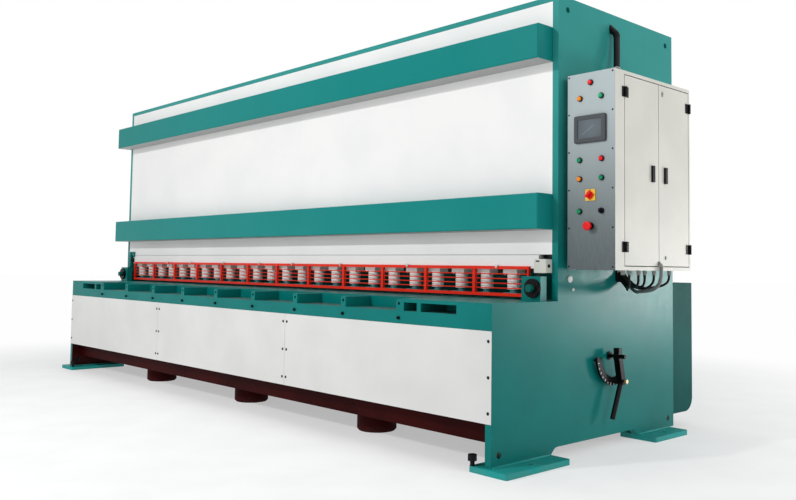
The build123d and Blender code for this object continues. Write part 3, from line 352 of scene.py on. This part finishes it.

# The blocks at the ends of the guard are a little glossier, and the right one's outer face is painted pale: a painted
# reflection of bright light at a grazing angle.
block_teal = enamel("block_teal", **TEAL, roughness=0.30)
block_teal.set(Base_Color=block_teal.mix(block_teal.body, (0.200, 0.420, 0.410), block_teal.x > END_BLOCK_SIDE))
# A much darker teal is painted shade: the chute is darkened against its lit side, and the blade beam darkened to stand
# for the shade in the gaps between the hold-down cylinders.
shade_teal = enamel("shade_teal", (0.002, 0.082, 0.075), (0.001, 0.066, 0.060), 0.50, specular=0.04)
foot_teal = enamel("foot_teal", (0.006, 0.300, 0.280), (0.003, 0.275, 0.258), 0.42, specular=0.10)
cover_white = enamel("cover_white", (0.790, 0.787, 0.778), (0.752, 0.752, 0.748), 0.42)
panel_white = enamel("panel_white", (0.645, 0.645, 0.632), (0.600, 0.600, 0.588), 0.40)
guard_red = enamel("guard_red", (0.80, 0.026, 0.006), (0.70, 0.018, 0.005), 0.30, peel=0.0001, specular=0.15)
# The maroon primer of the bed's girder and pads is painted near black, partly primer and partly painted shade under the
# table.
shaded_primer = enamel("primer_maroon", (0.032, 0.001, 0.001), (0.018, 0.000, 0.000), 0.62, specular=0.06,
                dust=(0.08, 0.05, 0.05))
cylinder_white = enamel("cylinder_white", (0.95, 0.93, 0.90), (0.86, 0.83, 0.79), 0.34)
pad_teal = enamel("pad_teal", (0.050, 0.250, 0.260), (0.025, 0.170, 0.180), 0.40)

# The side frames keep their maroon primer on the faces that look inwards below the table, painted near black as
# painted shade inside the machine.
frame_teal = enamel("frame_teal", **TEAL, roughness=0.33)
primer_shade_zone = (abs(frame_teal.x) < FRAME_INNER_FACE) * (frame_teal.z < PRIMER_SHADE_BELOW)
frame_teal.set(Base_Color=frame_teal.mix(frame_teal.body, (0.030, 0.002, 0.002), primer_shade_zone))

# The ledge under the table is worn by hands and sheets to a brownish grey.
rail_teal = enamel("rail_teal", **TEAL, roughness=0.40)
ledge = (rail_teal.z > LEDGE_TOP) * (rail_teal.y > BAND_BACK)
worn = rail_teal.noise(14, 6, (0.3, 1.0, 1.0)).between(0.30, 0.62)
handled = rail_teal.mix((0.075, 0.098, 0.090), (0.020, 0.110, 0.102), worn)
rail_teal.set(Base_Color=rail_teal.mix(rail_teal.body, handled, ledge))
print("painted finishes", len(bpy.data.materials))

# %% [markdown]
# ## Sheet, plastic, rubber and steel
#
# The cabinet has a powder coat, whose grain is much finer and sharper than orange peel. The control panel is a satin
# sheet with faint vertical brushing, much lighter at its top, which is a painted reflection. Moulded plastic has a
# faint grain too, and the steels have fine marks that change their tone and roughness.

# %% Other finishes
PANEL_FOOT, PANEL_REFLECTION_FROM = 1.02, 2.03

cabinet_coat = Finish("cabinet_coat")
speckle = cabinet_coat.noise(1400, 2)
patches = cabinet_coat.noise(3, 3).between(0.35, 0.65)
cabinet_tone = cabinet_coat.mix((0.600, 0.597, 0.545), (0.560, 0.557, 0.510), patches)
cabinet_coat.set(Base_Color=cabinet_coat.mix(cabinet_tone, (0.635, 0.635, 0.585), speckle.between(0.55, 0.75) * 0.35))
cabinet_coat.set(Roughness=0.46 + speckle * 0.12).relief(speckle, 0.0002)

panel_sheet = Finish("panel_sheet")
brush = panel_sheet.noise(60, 3, (14.0, 14.0, 0.4))
# Darker low and lighter high on the panel: a painted reflection of the light above.
reflection_rise = panel_sheet.z.between(PANEL_FOOT, PANEL_REFLECTION_FROM)
reflection_tone = panel_sheet.mix((0.078, 0.097, 0.103), (0.352, 0.408, 0.416), reflection_rise)
panel_sheet.set(Base_Color=panel_sheet.mix(reflection_tone, (0.30, 0.34, 0.35), brush.between(0.4, 0.7) * 0.18))
panel_sheet.set(Metallic=0.10, Specular_IOR_Level=0.3, Roughness=0.40 + brush * 0.16).relief(brush, 0.0001)


def moulded(name, colour, roughness=0.42, grain=900, depth=0.00012, specular=0.4):
    """Moulded plastic with a fine grain."""
    finish = Finish(name)
    fine = finish.noise(grain, 2)
    darker = tuple(part * 0.8 for part in colour)
    finish.set(Base_Color=finish.mix(colour, darker, finish.noise(40, 3).between(0.4, 0.7) * 0.5))
    finish.set(Roughness=roughness + fine * 0.12 - 0.06, Specular_IOR_Level=specular)
    return finish.relief(fine, depth)


black_plastic = moulded("black_plastic", (0.006, 0.006, 0.007), specular=0.12)
gland_grey = moulded("gland_grey", (0.262, 0.262, 0.250), 0.45)
switch_yellow = moulded("switch_yellow", (0.80, 0.48, 0.030), 0.40)
red_cap = moulded("red_cap", (0.78, 0.010, 0.012), 0.25, depth=0.00004, specular=0.2)
green_cap = moulded("green_cap", (0.002, 0.230, 0.095), 0.25, depth=0.00004, specular=0.2)
orange_cap = moulded("orange_cap", (0.88, 0.240, 0.010), 0.25, depth=0.00004, specular=0.2)
white_mark = moulded("white_mark", (0.80, 0.80, 0.78), 0.5)
cable_black = moulded("cable_black", (0.006, 0.006, 0.007), 0.46, 500, 0.0003, 0.15)
cable_grey = moulded("cable_grey", (0.150, 0.155, 0.155), 0.48, 500, 0.0003)
hose_black = moulded("hose_black", (0.006, 0.006, 0.007), 0.40, 500, 0.0003, 0.18)


def steel(name, colour, roughness, metallic=1.0):
    """Machined or oiled steel with fine marks."""
    finish = Finish(name)
    marks = finish.noise(260, 4, (0.15, 1.0, 1.0))
    darker = tuple(part * 0.7 for part in colour)
    finish.set(Base_Color=finish.mix(colour, darker, marks.between(0.45, 0.75)))
    finish.set(Metallic=metallic, Roughness=roughness + marks * 0.15)
    return finish.relief(marks, 0.00008)


blade_steel = steel("blade_steel", (0.060, 0.052, 0.048), 0.34, 0.9)
black_steel = steel("black_steel", (0.012, 0.012, 0.014), 0.32, 0.92)
screw_black = steel("screw_black", (0.010, 0.010, 0.011), 0.34, 0.92)
zinc = steel("zinc", (0.60, 0.60, 0.58), 0.30)
print("finishes", len(bpy.data.materials))

# %% [markdown]
# ## Finishes that change over one piece
#
# The three lamps are one solid, and so is the touch screen with its glass. A piece keeps one material, and the material
# asks where on the machine it is. That is why every finish reads Object coordinates: the pieces' objects sit at the
# origin, so those coordinates are the machine's own.

# %% Lamps, screen and dials
ORANGE_BELOW, GREEN_ABOVE = 2.84, 2.91
PANE_FRONT, PANE_X, PANE_Z = -0.3150, (2.8005, 2.9525), (1.737, 1.839)
REFLECTION_SLOPE, REFLECTION_WIDTH, REFLECTION_X = 0.62, (0.0040, 0.0062), (2.828, 2.902)
HUB_FRONT = -0.4485
TIP_FROM, TIP_BELOW = 2.7765, 0.44

lamp_lens = Finish("lamp_lens")
red, orange, green = (0.82, 0.010, 0.014), (0.90, 0.260, 0.010), (0.004, 0.340, 0.150)
glow = lamp_lens.mix(lamp_lens.mix(red, orange, lamp_lens.x < ORANGE_BELOW), green, lamp_lens.x > GREEN_ABOVE)
ribs = lamp_lens.node("ShaderNodeTexWave", {"wave_type": "RINGS", "rings_direction": "Y"},
                      {"Vector": lamp_lens.place, "Scale": 160.0})
lamp_lens.set(Base_Color=glow, Roughness=0.16 + lamp_lens.noise(300, 2) * 0.08, Specular_IOR_Level=0.25)
lamp_lens.relief(ribs, 0.00006)

touch_glass = Finish("touch_glass")
pane = (touch_glass.y > PANE_FRONT) * inside(touch_glass.x, *PANE_X) * inside(touch_glass.z, *PANE_Z)
# On the pane, soft blotches are a painted sheen and the light diagonal band is a painted reflection.
painted_sheen = touch_glass.noise(6, 1).between(0.3, 0.7)
slant = touch_glass.z - touch_glass.x * REFLECTION_SLOPE
reflection_streak = inside(slant, *REFLECTION_WIDTH) * inside(touch_glass.x, *REFLECTION_X)
screen = touch_glass.mix((0.075, 0.098, 0.112), (0.118, 0.145, 0.162), painted_sheen)
glass = touch_glass.mix(screen, (0.34, 0.38, 0.40), reflection_streak * 0.7)
touch_glass.set(Base_Color=touch_glass.mix((0.046, 0.052, 0.056), glass, pane))
touch_glass.set(Roughness=0.40 - pane * 0.22, Specular_IOR_Level=0.25, Coat_Weight=pane * 0.15)

dial_black = Finish("dial_black")
grease = dial_black.noise(120, 4)
plate = dial_black.mix((0.003, 0.003, 0.004), (0.016, 0.008, 0.008), grease.between(0.45, 0.7))
dial_black.set(Base_Color=dial_black.mix(plate, (0.004, 0.110, 0.092), dial_black.y < HUB_FRONT))
dial_black.set(Roughness=0.22 + grease * 0.2, Specular_IOR_Level=0.10).relief(grease, 0.0003)

lever_black = steel("lever_black", (0.010, 0.010, 0.011), 0.30, 0.92)
tip = (lever_black.x > TIP_FROM) * (lever_black.z < TIP_BELOW)
lever_black.set(Base_Color=lever_black.mix((0.010, 0.010, 0.011), (0.60, 0.45, 0.28), tip))
print("finishes", len(bpy.data.materials))

# %% [markdown]
# ## Dress the solids
#
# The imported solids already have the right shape, so they only need their finish. Each node is named once here, and a
# node that was forgotten would stop the script.

# %% Finishes of the solids
WEAR = {
    frame_teal: ["right_side_frame", "left_side_frame"],
    rail_teal: ["front_rail"],
    foot_teal: ["feet"],
    teal: ["bed_ribs", "bed_end_blocks", "table_top", "top_plate", "rear_cover"],
    beam_teal: ["upper_beam", "lower_beam"],
    block_teal: ["guard_end_blocks"],
    shade_teal: ["chute_housing", "blade_beam"],
    shaded_primer: ["bed_girder", "bed_pads"],
    cover_white: ["front_cover", "clamp_beam"],
    panel_white: ["front_panel_left", "front_panel_middle", "front_panel_right"],
    cylinder_white: ["hold_down_cylinders"],
    pad_teal: ["hold_down_feet"],
    guard_red: ["guard_frame", "guard_rods"],
    black_steel: ["levelling_bolts", "gap_quadrant"],
    lever_black: ["gap_lever"],
    dial_black: ["end_dials"],
    cabinet_coat: ["cabinet_shell", "door_front", "door_rear", "limit_switch"],
    panel_sheet: ["control_panel"],
    black_plastic: ["door_front_fittings", "door_rear_fittings", "hinge_leaves", "control_bezels", "selector_knob",
                    "conduit_fittings"],
    blade_steel: ["lower_blade", "upper_blade"],
    lamp_lens: ["lamps"],
    red_cap: ["button_halt", "main_switch_knob", "stop_button"],
    green_cap: ["button_feed", "button_pump", "button_reset"],
    orange_cap: ["button_light"],
    switch_yellow: ["main_switch_plate"],
    touch_glass: ["touch_screen"],
    gland_grey: ["cable_glands"],
    cable_black: ["cable_feed", "cable_motor", "cable_valve", "cable_sensor", "cable_drive"],
    cable_grey: ["cable_grey"],
    hose_black: ["top_conduit"],
}


def wear(piece, finish):
    """Give a piece one finish."""
    piece.data.materials.clear()
    piece.data.materials.append(finish.material)


dressed = set()
for finish, names in WEAR.items():
    for name in names:
        wear(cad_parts[name], finish)
        dressed.add(name)
        if name in cords:
            wear(cords[name], finish)
bare = sorted(set(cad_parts) - dressed)
assert not bare, bare
print("dressed", len(dressed))

# %% [markdown]
# ## A small workshop
#
# What the solids leave out is turned, drilled and bolted: screws, nuts, weld beads, marks. One class collects such bits
# in a single mesh, always in the machine's own coordinates. A bar is a cube with bevelled edges. A turned bit is a
# profile of radius and height that spins about an axis, as in a lathe.

# %% Bars and turned bits
FRONT, BACK, RIGHT, DOWN = (0, -1, 0), (0, 1, 0), (1, 0, 0), (0, 0, -1)
PROUD = 0.0002
SHARP_ANGLE = math.radians(38)


class Bits:
    """Small pieces of one finish, gathered in one mesh."""

    def __init__(self, name):
        self.name = name
        self.mesh = bmesh.new()

    def bar(self, low, high, bevel, turn=Matrix()):
        """A box between two corners with rounded edges, turned about its own middle."""
        size, middle = Vector(high) - Vector(low), (Vector(high) + Vector(low)) / 2
        verts = bmesh.ops.create_cube(self.mesh, size=1)["verts"]
        matrix = Matrix.Translation(middle) @ turn @ Matrix.Diagonal((*size, 1))
        bmesh.ops.transform(self.mesh, matrix=matrix, verts=verts)
        edges = list({edge for vert in verts for edge in vert.link_edges})
        bmesh.ops.bevel(self.mesh, geom=edges, offset=bevel, segments=2, profile=0.5, affect="EDGES", material=-1)

    def turned(self, profile, place, axis, steps):
        """A profile of radius and height pairs spun about an axis through a place."""
        before = set(self.mesh.verts)
        verts = [self.mesh.verts.new((radius, 0, height)) for radius, height in profile]
        edges = [self.mesh.edges.new(pair) for pair in zip(verts, verts[1:])]
        bmesh.ops.spin(self.mesh, geom=verts + edges, cent=(0, 0, 0), axis=(0, 0, 1), angle=math.tau, steps=steps,
                       use_merge=True)
        made = [vert for vert in self.mesh.verts if vert not in before]
        matrix = Matrix.Translation(place) @ Vector(axis).to_track_quat("Z", "Y").to_matrix().to_4x4()
        bmesh.ops.transform(self.mesh, matrix=matrix, verts=made)

    def scaled(self, profile, place, axis, radius, height, steps):
        """A turned bit whose profile is given in shares of its radius and height."""
        self.turned([(across * radius, up * height) for across, up in profile], place, axis, steps)

    def cap_screw(self, place, axis, radius, height):
        """Cap screw with a socket."""
        profile = [(0, 0.45), (0.5, 0.45), (0.5, 1), (0.86, 1), (1, 0.8), (1, 0)]
        self.scaled(profile, place, axis, radius, height, 12)

    def dome_screw(self, place, axis, radius, height):
        """Round head with a small recess in its middle."""
        profile = [(0, 0.7), (0.28, 1), (0.62, 0.86), (0.9, 0.45), (1, 0)]
        self.scaled(profile, place, axis, radius, height, 10)

    def nut(self, place, axis, radius, height):
        """Hexagon nut with chamfered corners and a stud end."""
        profile = [(0, 1.35), (0.42, 1.3), (0.5, 1), (0.86, 1), (1, 0.82), (1, 0)]
        self.scaled(profile, place, axis, radius, height, 6)

    def done(self, finish, body="machine"):
        """Close the mesh, smooth what is round, and hang it on a body."""
        bmesh.ops.remove_doubles(self.mesh, verts=self.mesh.verts, dist=0.00001)
        bmesh.ops.recalc_face_normals(self.mesh, faces=self.mesh.faces)
        data = bpy.data.meshes.new(self.name)
        faces = len(self.mesh.faces)
        self.mesh.to_mesh(data)
        self.mesh.free()
        data.shade_smooth()
        data.set_sharp_from_angle(angle=SHARP_ANGLE)
        piece = bpy.data.objects.new(self.name, data)
        bpy.context.scene.collection.objects.link(piece)
        wear(piece, finish)
        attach(piece, body)
        print(self.name, "faces", faces)


# %% [markdown]
# ## Screws and welds
#
# Each row asks a solid for its box and places itself from that. The lower panels have three dark screws at every end,
# the control panel has six on each side, the rear cover has them all round, and the bed has a socket screw in and under
# each rib. The feet are welded on, with a bead along both faces of the side frames, and plugs close the frames' lower
# holes.

# %% Screws of the panels and the bed
PANEL_SCREW_INSET, PANEL_SCREW_HEIGHTS = 0.0195, (0.053, 0.232, 0.413)
SHEET_ROWS = 6
RIBS, RIB_PITCH = 9, 0.5
RIB_HOLE_Z, RAIL_HOLE_Z = 0.822, 0.742
COVER_SCREWS, COVER_SIDE_INSET, COVER_EDGE_INSET = 11, 0.045, 0.030


def spread(low, high, count):
    """So many values at equal steps from low to high."""
    return [low + index * (high - low) / (count - 1) for index in range(count)]


panel_screws = Bits("panel_screws")
for name in ("front_panel_left", "front_panel_middle", "front_panel_right"):
    low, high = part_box(name)
    for x in (low[0] + PANEL_SCREW_INSET, high[0] - PANEL_SCREW_INSET):
        for height in PANEL_SCREW_HEIGHTS:
            panel_screws.dome_screw((x, low[1] + PROUD, low[2] + height), FRONT, 0.0092, 0.0045)
panel_screws.done(screw_black)

low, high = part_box("control_panel")
sheet_screws = Bits("sheet_screws")
for z in spread(low[2] + 0.017, high[2] - 0.013, SHEET_ROWS):
    for x in (low[0] + 0.009, high[0] - 0.014):
        sheet_screws.dome_screw((x, low[1] + PROUD, z), FRONT, 0.0055, 0.003)
sheet_screws.done(screw_black)

low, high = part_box("front_rail")
rib_screws = Bits("rib_screws")
for index in range(RIBS):
    x = (index - RIBS // 2) * RIB_PITCH
    rib_screws.cap_screw((x, low[1] + 0.012, RIB_HOLE_Z), FRONT, 0.0085, 0.008)
    rib_screws.cap_screw((x, low[1] + PROUD, RAIL_HOLE_Z), FRONT, 0.0098, 0.012)
rib_screws.done(screw_black)

low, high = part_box("rear_cover")
cover_screws = Bits("cover_screws")
sides = (low[0] + COVER_SIDE_INSET, high[0] - COVER_SIDE_INSET)
edges = (low[2] + COVER_EDGE_INSET, high[2] - COVER_EDGE_INSET)
rows = [(x, z) for x in spread(*sides, COVER_SCREWS) for z in edges]
columns = [(x, z) for z in spread(low[2], high[2], 5)[1:-1] for x in sides]
for x, z in rows + columns:
    cover_screws.dome_screw((x, high[1] + PROUD, z), BACK, 0.011, 0.0055)
cover_screws.done(screw_black)

# %% Weld beads at the feet
FOOT_TOP, BEAD = 0.030, 0.011
WELDS = ((-0.886, -0.404), (0.459, 0.831))
frame_low, frame_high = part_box("right_side_frame")
FRAME_FACES = ((frame_high[0], 1), (frame_low[0], -1))
foot_welds = Bits("foot_welds")
for side in (-1, 1):
    for face, out in FRAME_FACES:
        for start, end in WELDS:
            x = side * (face + out * BEAD * 0.25)
            foot_welds.bar((x - BEAD / 2, start, FOOT_TOP - BEAD * 0.35), (x + BEAD / 2, end, FOOT_TOP + BEAD * 0.65),
                           0.004)
foot_welds.done(foot_teal)

# %% Plugs of the lower corner holes
PLUG = [(0.0, 0.0012), (0.013, 0.0012), (0.0155, 0.0002), (0.0168, -0.002), (0.0168, -0.006), (0.0, -0.006)]
plugs = Bits("hole_plugs")
for side in (-1, 1):
    for y in (-0.829, 0.819):
        for face, out in FRAME_FACES:
            plugs.turned(PLUG, (side * (face - out * 0.002), y, 0.088), (side * out, 0, 0), 16)
plugs.done(black_plastic)

# %% [markdown]
# ## Guard, hold-downs and table ends
#
# Nuts hang under the hold-down blocks. Clips with a bright nut tie the guard's top bar to the cover. The position
# switch at the right end has a lens, a slot, and a roller on a small bracket. At the left end a hook and a ring nut
# hold the guard's other end. Bars are given by two corners, as steps from a corner of the solid that they sit on.

# %% Nuts, clips and the switch's roller
HOLD_DOWNS, HALF_BLOCK, NUT_OFFSET = 24, 0.052, 0.045
CLIPS = (-1.80, -1.36, -0.80, -0.242, 0.210, 0.80, 1.50, 2.264)

low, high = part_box("hold_down_cylinders")
hold_down_nuts = Bits("hold_down_nuts")
for centre in spread(low[0] + HALF_BLOCK, high[0] - HALF_BLOCK, HOLD_DOWNS):
    for offset in (-NUT_OFFSET, NUT_OFFSET):
        hold_down_nuts.nut((centre + offset, low[1] + 0.012, high[2] - 0.0302), DOWN, 0.0085, 0.008)
hold_down_nuts.done(zinc)

low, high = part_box("guard_frame")
guard_clips = Bits("guard_clips")
for x in CLIPS:
    edge, depth = (x, low[1], high[2]), high[1] - low[1]
    guard_clips.bar(*chain(edge, (-0.007, -0.0035, -0.014), (0.007, -0.0004, 0.011)), 0.001)
    guard_clips.bar(*chain(edge, (-0.007, -0.0035, 0.0004), (0.007, depth - 0.002, 0.0035)), 0.001)
    guard_clips.nut((x, low[1] - 0.0035, high[2] - 0.005), FRONT, 0.006, 0.005)
guard_clips.done(zinc)

low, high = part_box("limit_switch")
switch_front = Bits("switch_front")
top_corner = (low[0], low[1], high[2])
# The slot is a black strip on the switch's front: a dark piece that stands for the shade inside the slot.
switch_front.bar(*chain(top_corner, (0.014, -0.002, -0.016), (0.038, 0.002, -0.008)), 0.0008)
switch_front.turned([(0.0, 0.001), (0.006, 0.001), (0.008, 0.003), (0.010, 0.003), (0.010, -0.001)],
                    (high[0] + PROUD, low[1] + 0.026, (low[2] + high[2]) / 2), RIGHT, 16)
switch_front.bar(*chain(low, (0.006, 0.012, -0.052), (0.034, 0.018, 0.001)), 0.001)
switch_front.bar(*chain(low, (-0.030, 0.012, -0.030), (0.010, 0.018, -0.019)), 0.001)
switch_front.done(black_plastic)
roller = Bits("switch_roller")
roller.turned([(0, 0.0), (0.006, 0.0), (0.009, 0.002), (0.009, 0.007), (0.006, 0.010), (0.003, 0.012), (0, 0.012)],
              (low[0] + 0.022, low[1] + 0.0125, low[2] - 0.040), FRONT, 16)
roller.done(zinc)

left_hook = Bits("left_hook")
left_hook.bar((-2.600, -0.356, 1.118), (-2.520, -0.346, 1.140), 0.002)
left_hook.bar((-2.545, -0.356, 1.088), (-2.523, -0.346, 1.122), 0.002)
left_hook.bar((-2.604, -0.366, 0.988), (-2.582, -0.346, 1.140), 0.002)
left_hook.done(teal)
left_ring = Bits("left_ring")
left_ring.turned([(0.012, 0.0), (0.026, 0.0), (0.027, 0.010), (0.021, 0.014), (0.012, 0.010), (0.012, 0.0)],
                 (-2.562, -0.346, 1.058), FRONT, 20)
left_ring.done(black_plastic)

# %% [markdown]
# ## Cabinet side, quadrant and hose
#
# The rear door has a grey lock near its top and a smaller one near its bottom, and the main switch is a red square on
# its point, with four ticks round its plate. The quadrant carries white graduation marks. A pale clamp ring and a short
# sleeve sit on the hose, and two lubricating nipples stand on the side frame below the control panel.

# %% Locks, marks, rings
LOCKS = ((0.180, 2.028, 0.015), (0.209, 1.097, 0.011))
HALF_DIAMOND, TICK_REACH = 0.019, 0.0255
MARKS, FIRST_MARK, MARK_PITCH = 8, 192, 11
MARK_INNER, LONG_MARK_INNER, MARK_OUTER = 0.157, 0.153, 0.1665
QUADRANT_MIDDLE = Vector((0, 0.152, 0.525))
FRAME_SIDE = 2.692

locks = Bits("door_locks")
low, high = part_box("door_rear")
for y, z, reach in LOCKS:
    locks.bar((high[0] - PROUD, y - 0.007, z - reach), (high[0] + 0.003, y + 0.007, z + reach), 0.0012)
    locks.turned([(0, 0.002), (0.0025, 0.002), (0.0035, 0.0032), (0.005, 0.0032), (0.005, 0.0)],
                 (high[0] + 0.002, y, z), RIGHT, 12)
locks.done(gland_grey, "door_rear")

diamond = Bits("switch_diamond")
low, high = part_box("main_switch_knob")
centre = Vector(((low[0] + high[0]) / 2, high[1], (low[2] + high[2]) / 2))
diamond.bar(*chain(centre, (-HALF_DIAMOND, -0.0095, -HALF_DIAMOND), (HALF_DIAMOND, -0.0008, HALF_DIAMOND)),
            0.0015, Matrix.Rotation(math.radians(45), 4, "Y"))
diamond.done(red_cap, "main_switch")
ticks = Bits("switch_ticks")
for x, z in ((-1, 0), (1, 0), (0, 1), (0, -1)):
    place = centre + Vector((x * TICK_REACH, PROUD, z * TICK_REACH))
    ticks.bar(*chain(place, (-0.0022, -0.0012, -0.0022), (0.0022, 0, 0.0022)), 0.0005)
ticks.done(screw_black)

low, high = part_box("gap_quadrant")
marks = Bits("quadrant_marks")
for index in range(MARKS):
    angle = math.radians(FIRST_MARK + MARK_PITCH * index)
    inner = MARK_INNER if index % 2 else LONG_MARK_INNER
    outward = Vector((0, math.cos(angle), math.sin(angle)))
    place = QUADRANT_MIDDLE + outward * (inner + MARK_OUTER) / 2 + Vector((high[0], 0, 0))
    half = (MARK_OUTER - inner) / 2
    marks.bar(*chain(place, (-PROUD, -half, -0.0019), (0.0008, half, 0.0019)), 0.0002, Matrix.Rotation(angle, 4, "X"))
marks.done(white_mark)

hose_place = Vector((2.7525, 0.1425, 2.2145))
hose_axis = Vector((0.007, -0.013, -0.044))
hose_rings = Bits("hose_rings")
hose_rings.turned([(0.0192, 0.0), (0.0215, 0.0005), (0.0220, 0.002), (0.0215, 0.0035), (0.0192, 0.004), (0.0192, 0)],
                  hose_place - hose_axis * 0.05, hose_axis, 24)
hose_rings.done(white_mark)
hose_sleeve = Bits("hose_sleeve")
hose_sleeve.turned([(0.0192, 0.0), (0.0212, 0.001), (0.0215, 0.006), (0.0208, 0.012), (0.0215, 0.018),
                    (0.0208, 0.024), (0.0192, 0.026), (0.0192, 0)],
                   hose_place + hose_axis * 0.04, hose_axis, 24)
hose_sleeve.done(black_plastic)

nipple = Bits("lube_nipple")
nipple.turned([(0.0, 0.012), (0.006, 0.012), (0.010, 0.009), (0.018, 0.007), (0.020, 0.003), (0.018, 0.0)],
              (FRAME_SIDE, -0.236, 0.972), RIGHT, 16)
nipple.turned([(0.0, 0.008), (0.007, 0.007), (0.009, 0.003), (0.008, 0.0)], (FRAME_SIDE, -0.206, 0.914), RIGHT, 12)
nipple.done(white_mark)

# %% [markdown]
# ## Floor, light and air
#
# A studio for a white and teal machine is a pale floor, a big soft lamp in front with a small one over it that draws
# the shadows, one above, and two on the right, of which the low one lights the side frame under the cabinet. The world
# gives the fill. Where the camera looks past the floor it should see plain white, so the world is white to the camera,
# to reflections and to glass, and dimmer to everything else. The floor fades into that white away from the machine.

# %% Stage
FLOOR_SIZE = 60
FADE_START, FADE_END = 3.0, 6.0
WHITE_NEAR, WHITE_MORE = 0.44, 0.54
FILL_COLOUR, FILL_STRENGTH = (0.97, 0.98, 1.0, 1), 0.32

floor_mesh = bmesh.new()
bmesh.ops.create_grid(floor_mesh, x_segments=1, y_segments=1, size=FLOOR_SIZE)
floor_data = bpy.data.meshes.new("studio_floor")
floor_mesh.to_mesh(floor_data)
floor_mesh.free()
floor = bpy.data.objects.new("studio_floor", floor_data)
bpy.context.scene.collection.objects.link(floor)

ground = Finish("studio_ground")
distance = ground.node("ShaderNodeVectorMath", {"operation": "LENGTH"}, {0: ground.place}, out="Value")
far = distance.between(FADE_START, FADE_END)
tone = ground.mix((0.90, 0.90, 0.90), (0.96, 0.96, 0.96), ground.noise(3, 3).between(0.3, 0.7))
ground.set(Base_Color=tone, Roughness=0.75)
white = ground.node("ShaderNodeEmission", sockets={"Color": (1.0, 1.0, 1.0), "Strength": 1.0}, out="Emission")
painted = Wire(ground, ground.shader.outputs[0])
blend = ground.node("ShaderNodeMixShader", sockets={0: far * WHITE_MORE + WHITE_NEAR, 1: painted, 2: white})
ground.tree.links.new(blend.socket, ground.tree.nodes["Material Output"].inputs["Surface"])
wear(floor, ground)

air = bpy.data.worlds.new("studio_air")
air.use_nodes = True
bpy.context.scene.world = air
nodes, links = air.node_tree.nodes, air.node_tree.links
nodes.clear()
rays = nodes.new("ShaderNodeLightPath")
seen = rays.outputs["Is Camera Ray"]
for kind in ("Is Glossy Ray", "Is Transmission Ray"):
    either = nodes.new("ShaderNodeMath")
    either.operation = "MAXIMUM"
    links.new(seen, either.inputs[0])
    links.new(rays.outputs[kind], either.inputs[1])
    seen = either.outputs[0]
fill, backdrop = nodes.new("ShaderNodeBackground"), nodes.new("ShaderNodeBackground")
fill.inputs["Color"].default_value = FILL_COLOUR
fill.inputs["Strength"].default_value = FILL_STRENGTH
backdrop.inputs["Color"].default_value = (1, 1, 1, 1)
backdrop.inputs["Strength"].default_value = 1.0
chosen = nodes.new("ShaderNodeMixShader")
for socket, output in zip(chosen.inputs, (seen, fill.outputs[0], backdrop.outputs[0])):
    links.new(output, socket)
links.new(chosen.outputs[0], nodes.new("ShaderNodeOutputWorld").inputs["Surface"])


def lamp(name, place, aim, size, power):
    """A square area lamp that looks at a point."""
    light = bpy.data.lights.new(name, "AREA")
    light.shape = "SQUARE"
    light.size = size
    light.energy = power
    holder = bpy.data.objects.new(name, light)
    bpy.context.scene.collection.objects.link(holder)
    holder.location = place
    holder.rotation_euler = (Vector(aim) - Vector(place)).to_track_quat("-Z", "Y").to_euler()


lamp("front_lamp", (2.2, -8.0, 2.6), (0.8, 0, 1.2), 5.0, 118)
lamp("key_lamp", (0.0, -7.2, 4.8), (0.1, 0, 1.2), 0.35, 245)
lamp("top_lamp", (0, 0.5, 7.5), (0, 0, 1.0), 7.0, 180)
lamp("right_lamp", (8.5, 0.5, 4.4), (2.7, 0, 1.5), 3.5, 118)
lamp("low_lamp", (5.4, 4.9, 0.85), (2.69, 0.45, 0.92), 0.7, 105)
bpy.context.scene.view_settings.view_transform = "Standard"
print("lamps", len(bpy.data.lights))

# %% [markdown]
#
# Each cord leaves the object at its first point and goes back in at its last. Here each one is only sorted as
# medium or limp: the hose and the grey conduit are medium, the cables limp.

# %% Cords, end
for name, (diameter, points) in ROUTES.items():
    "medium" if name in ("top_conduit", "cable_grey") else "limp"
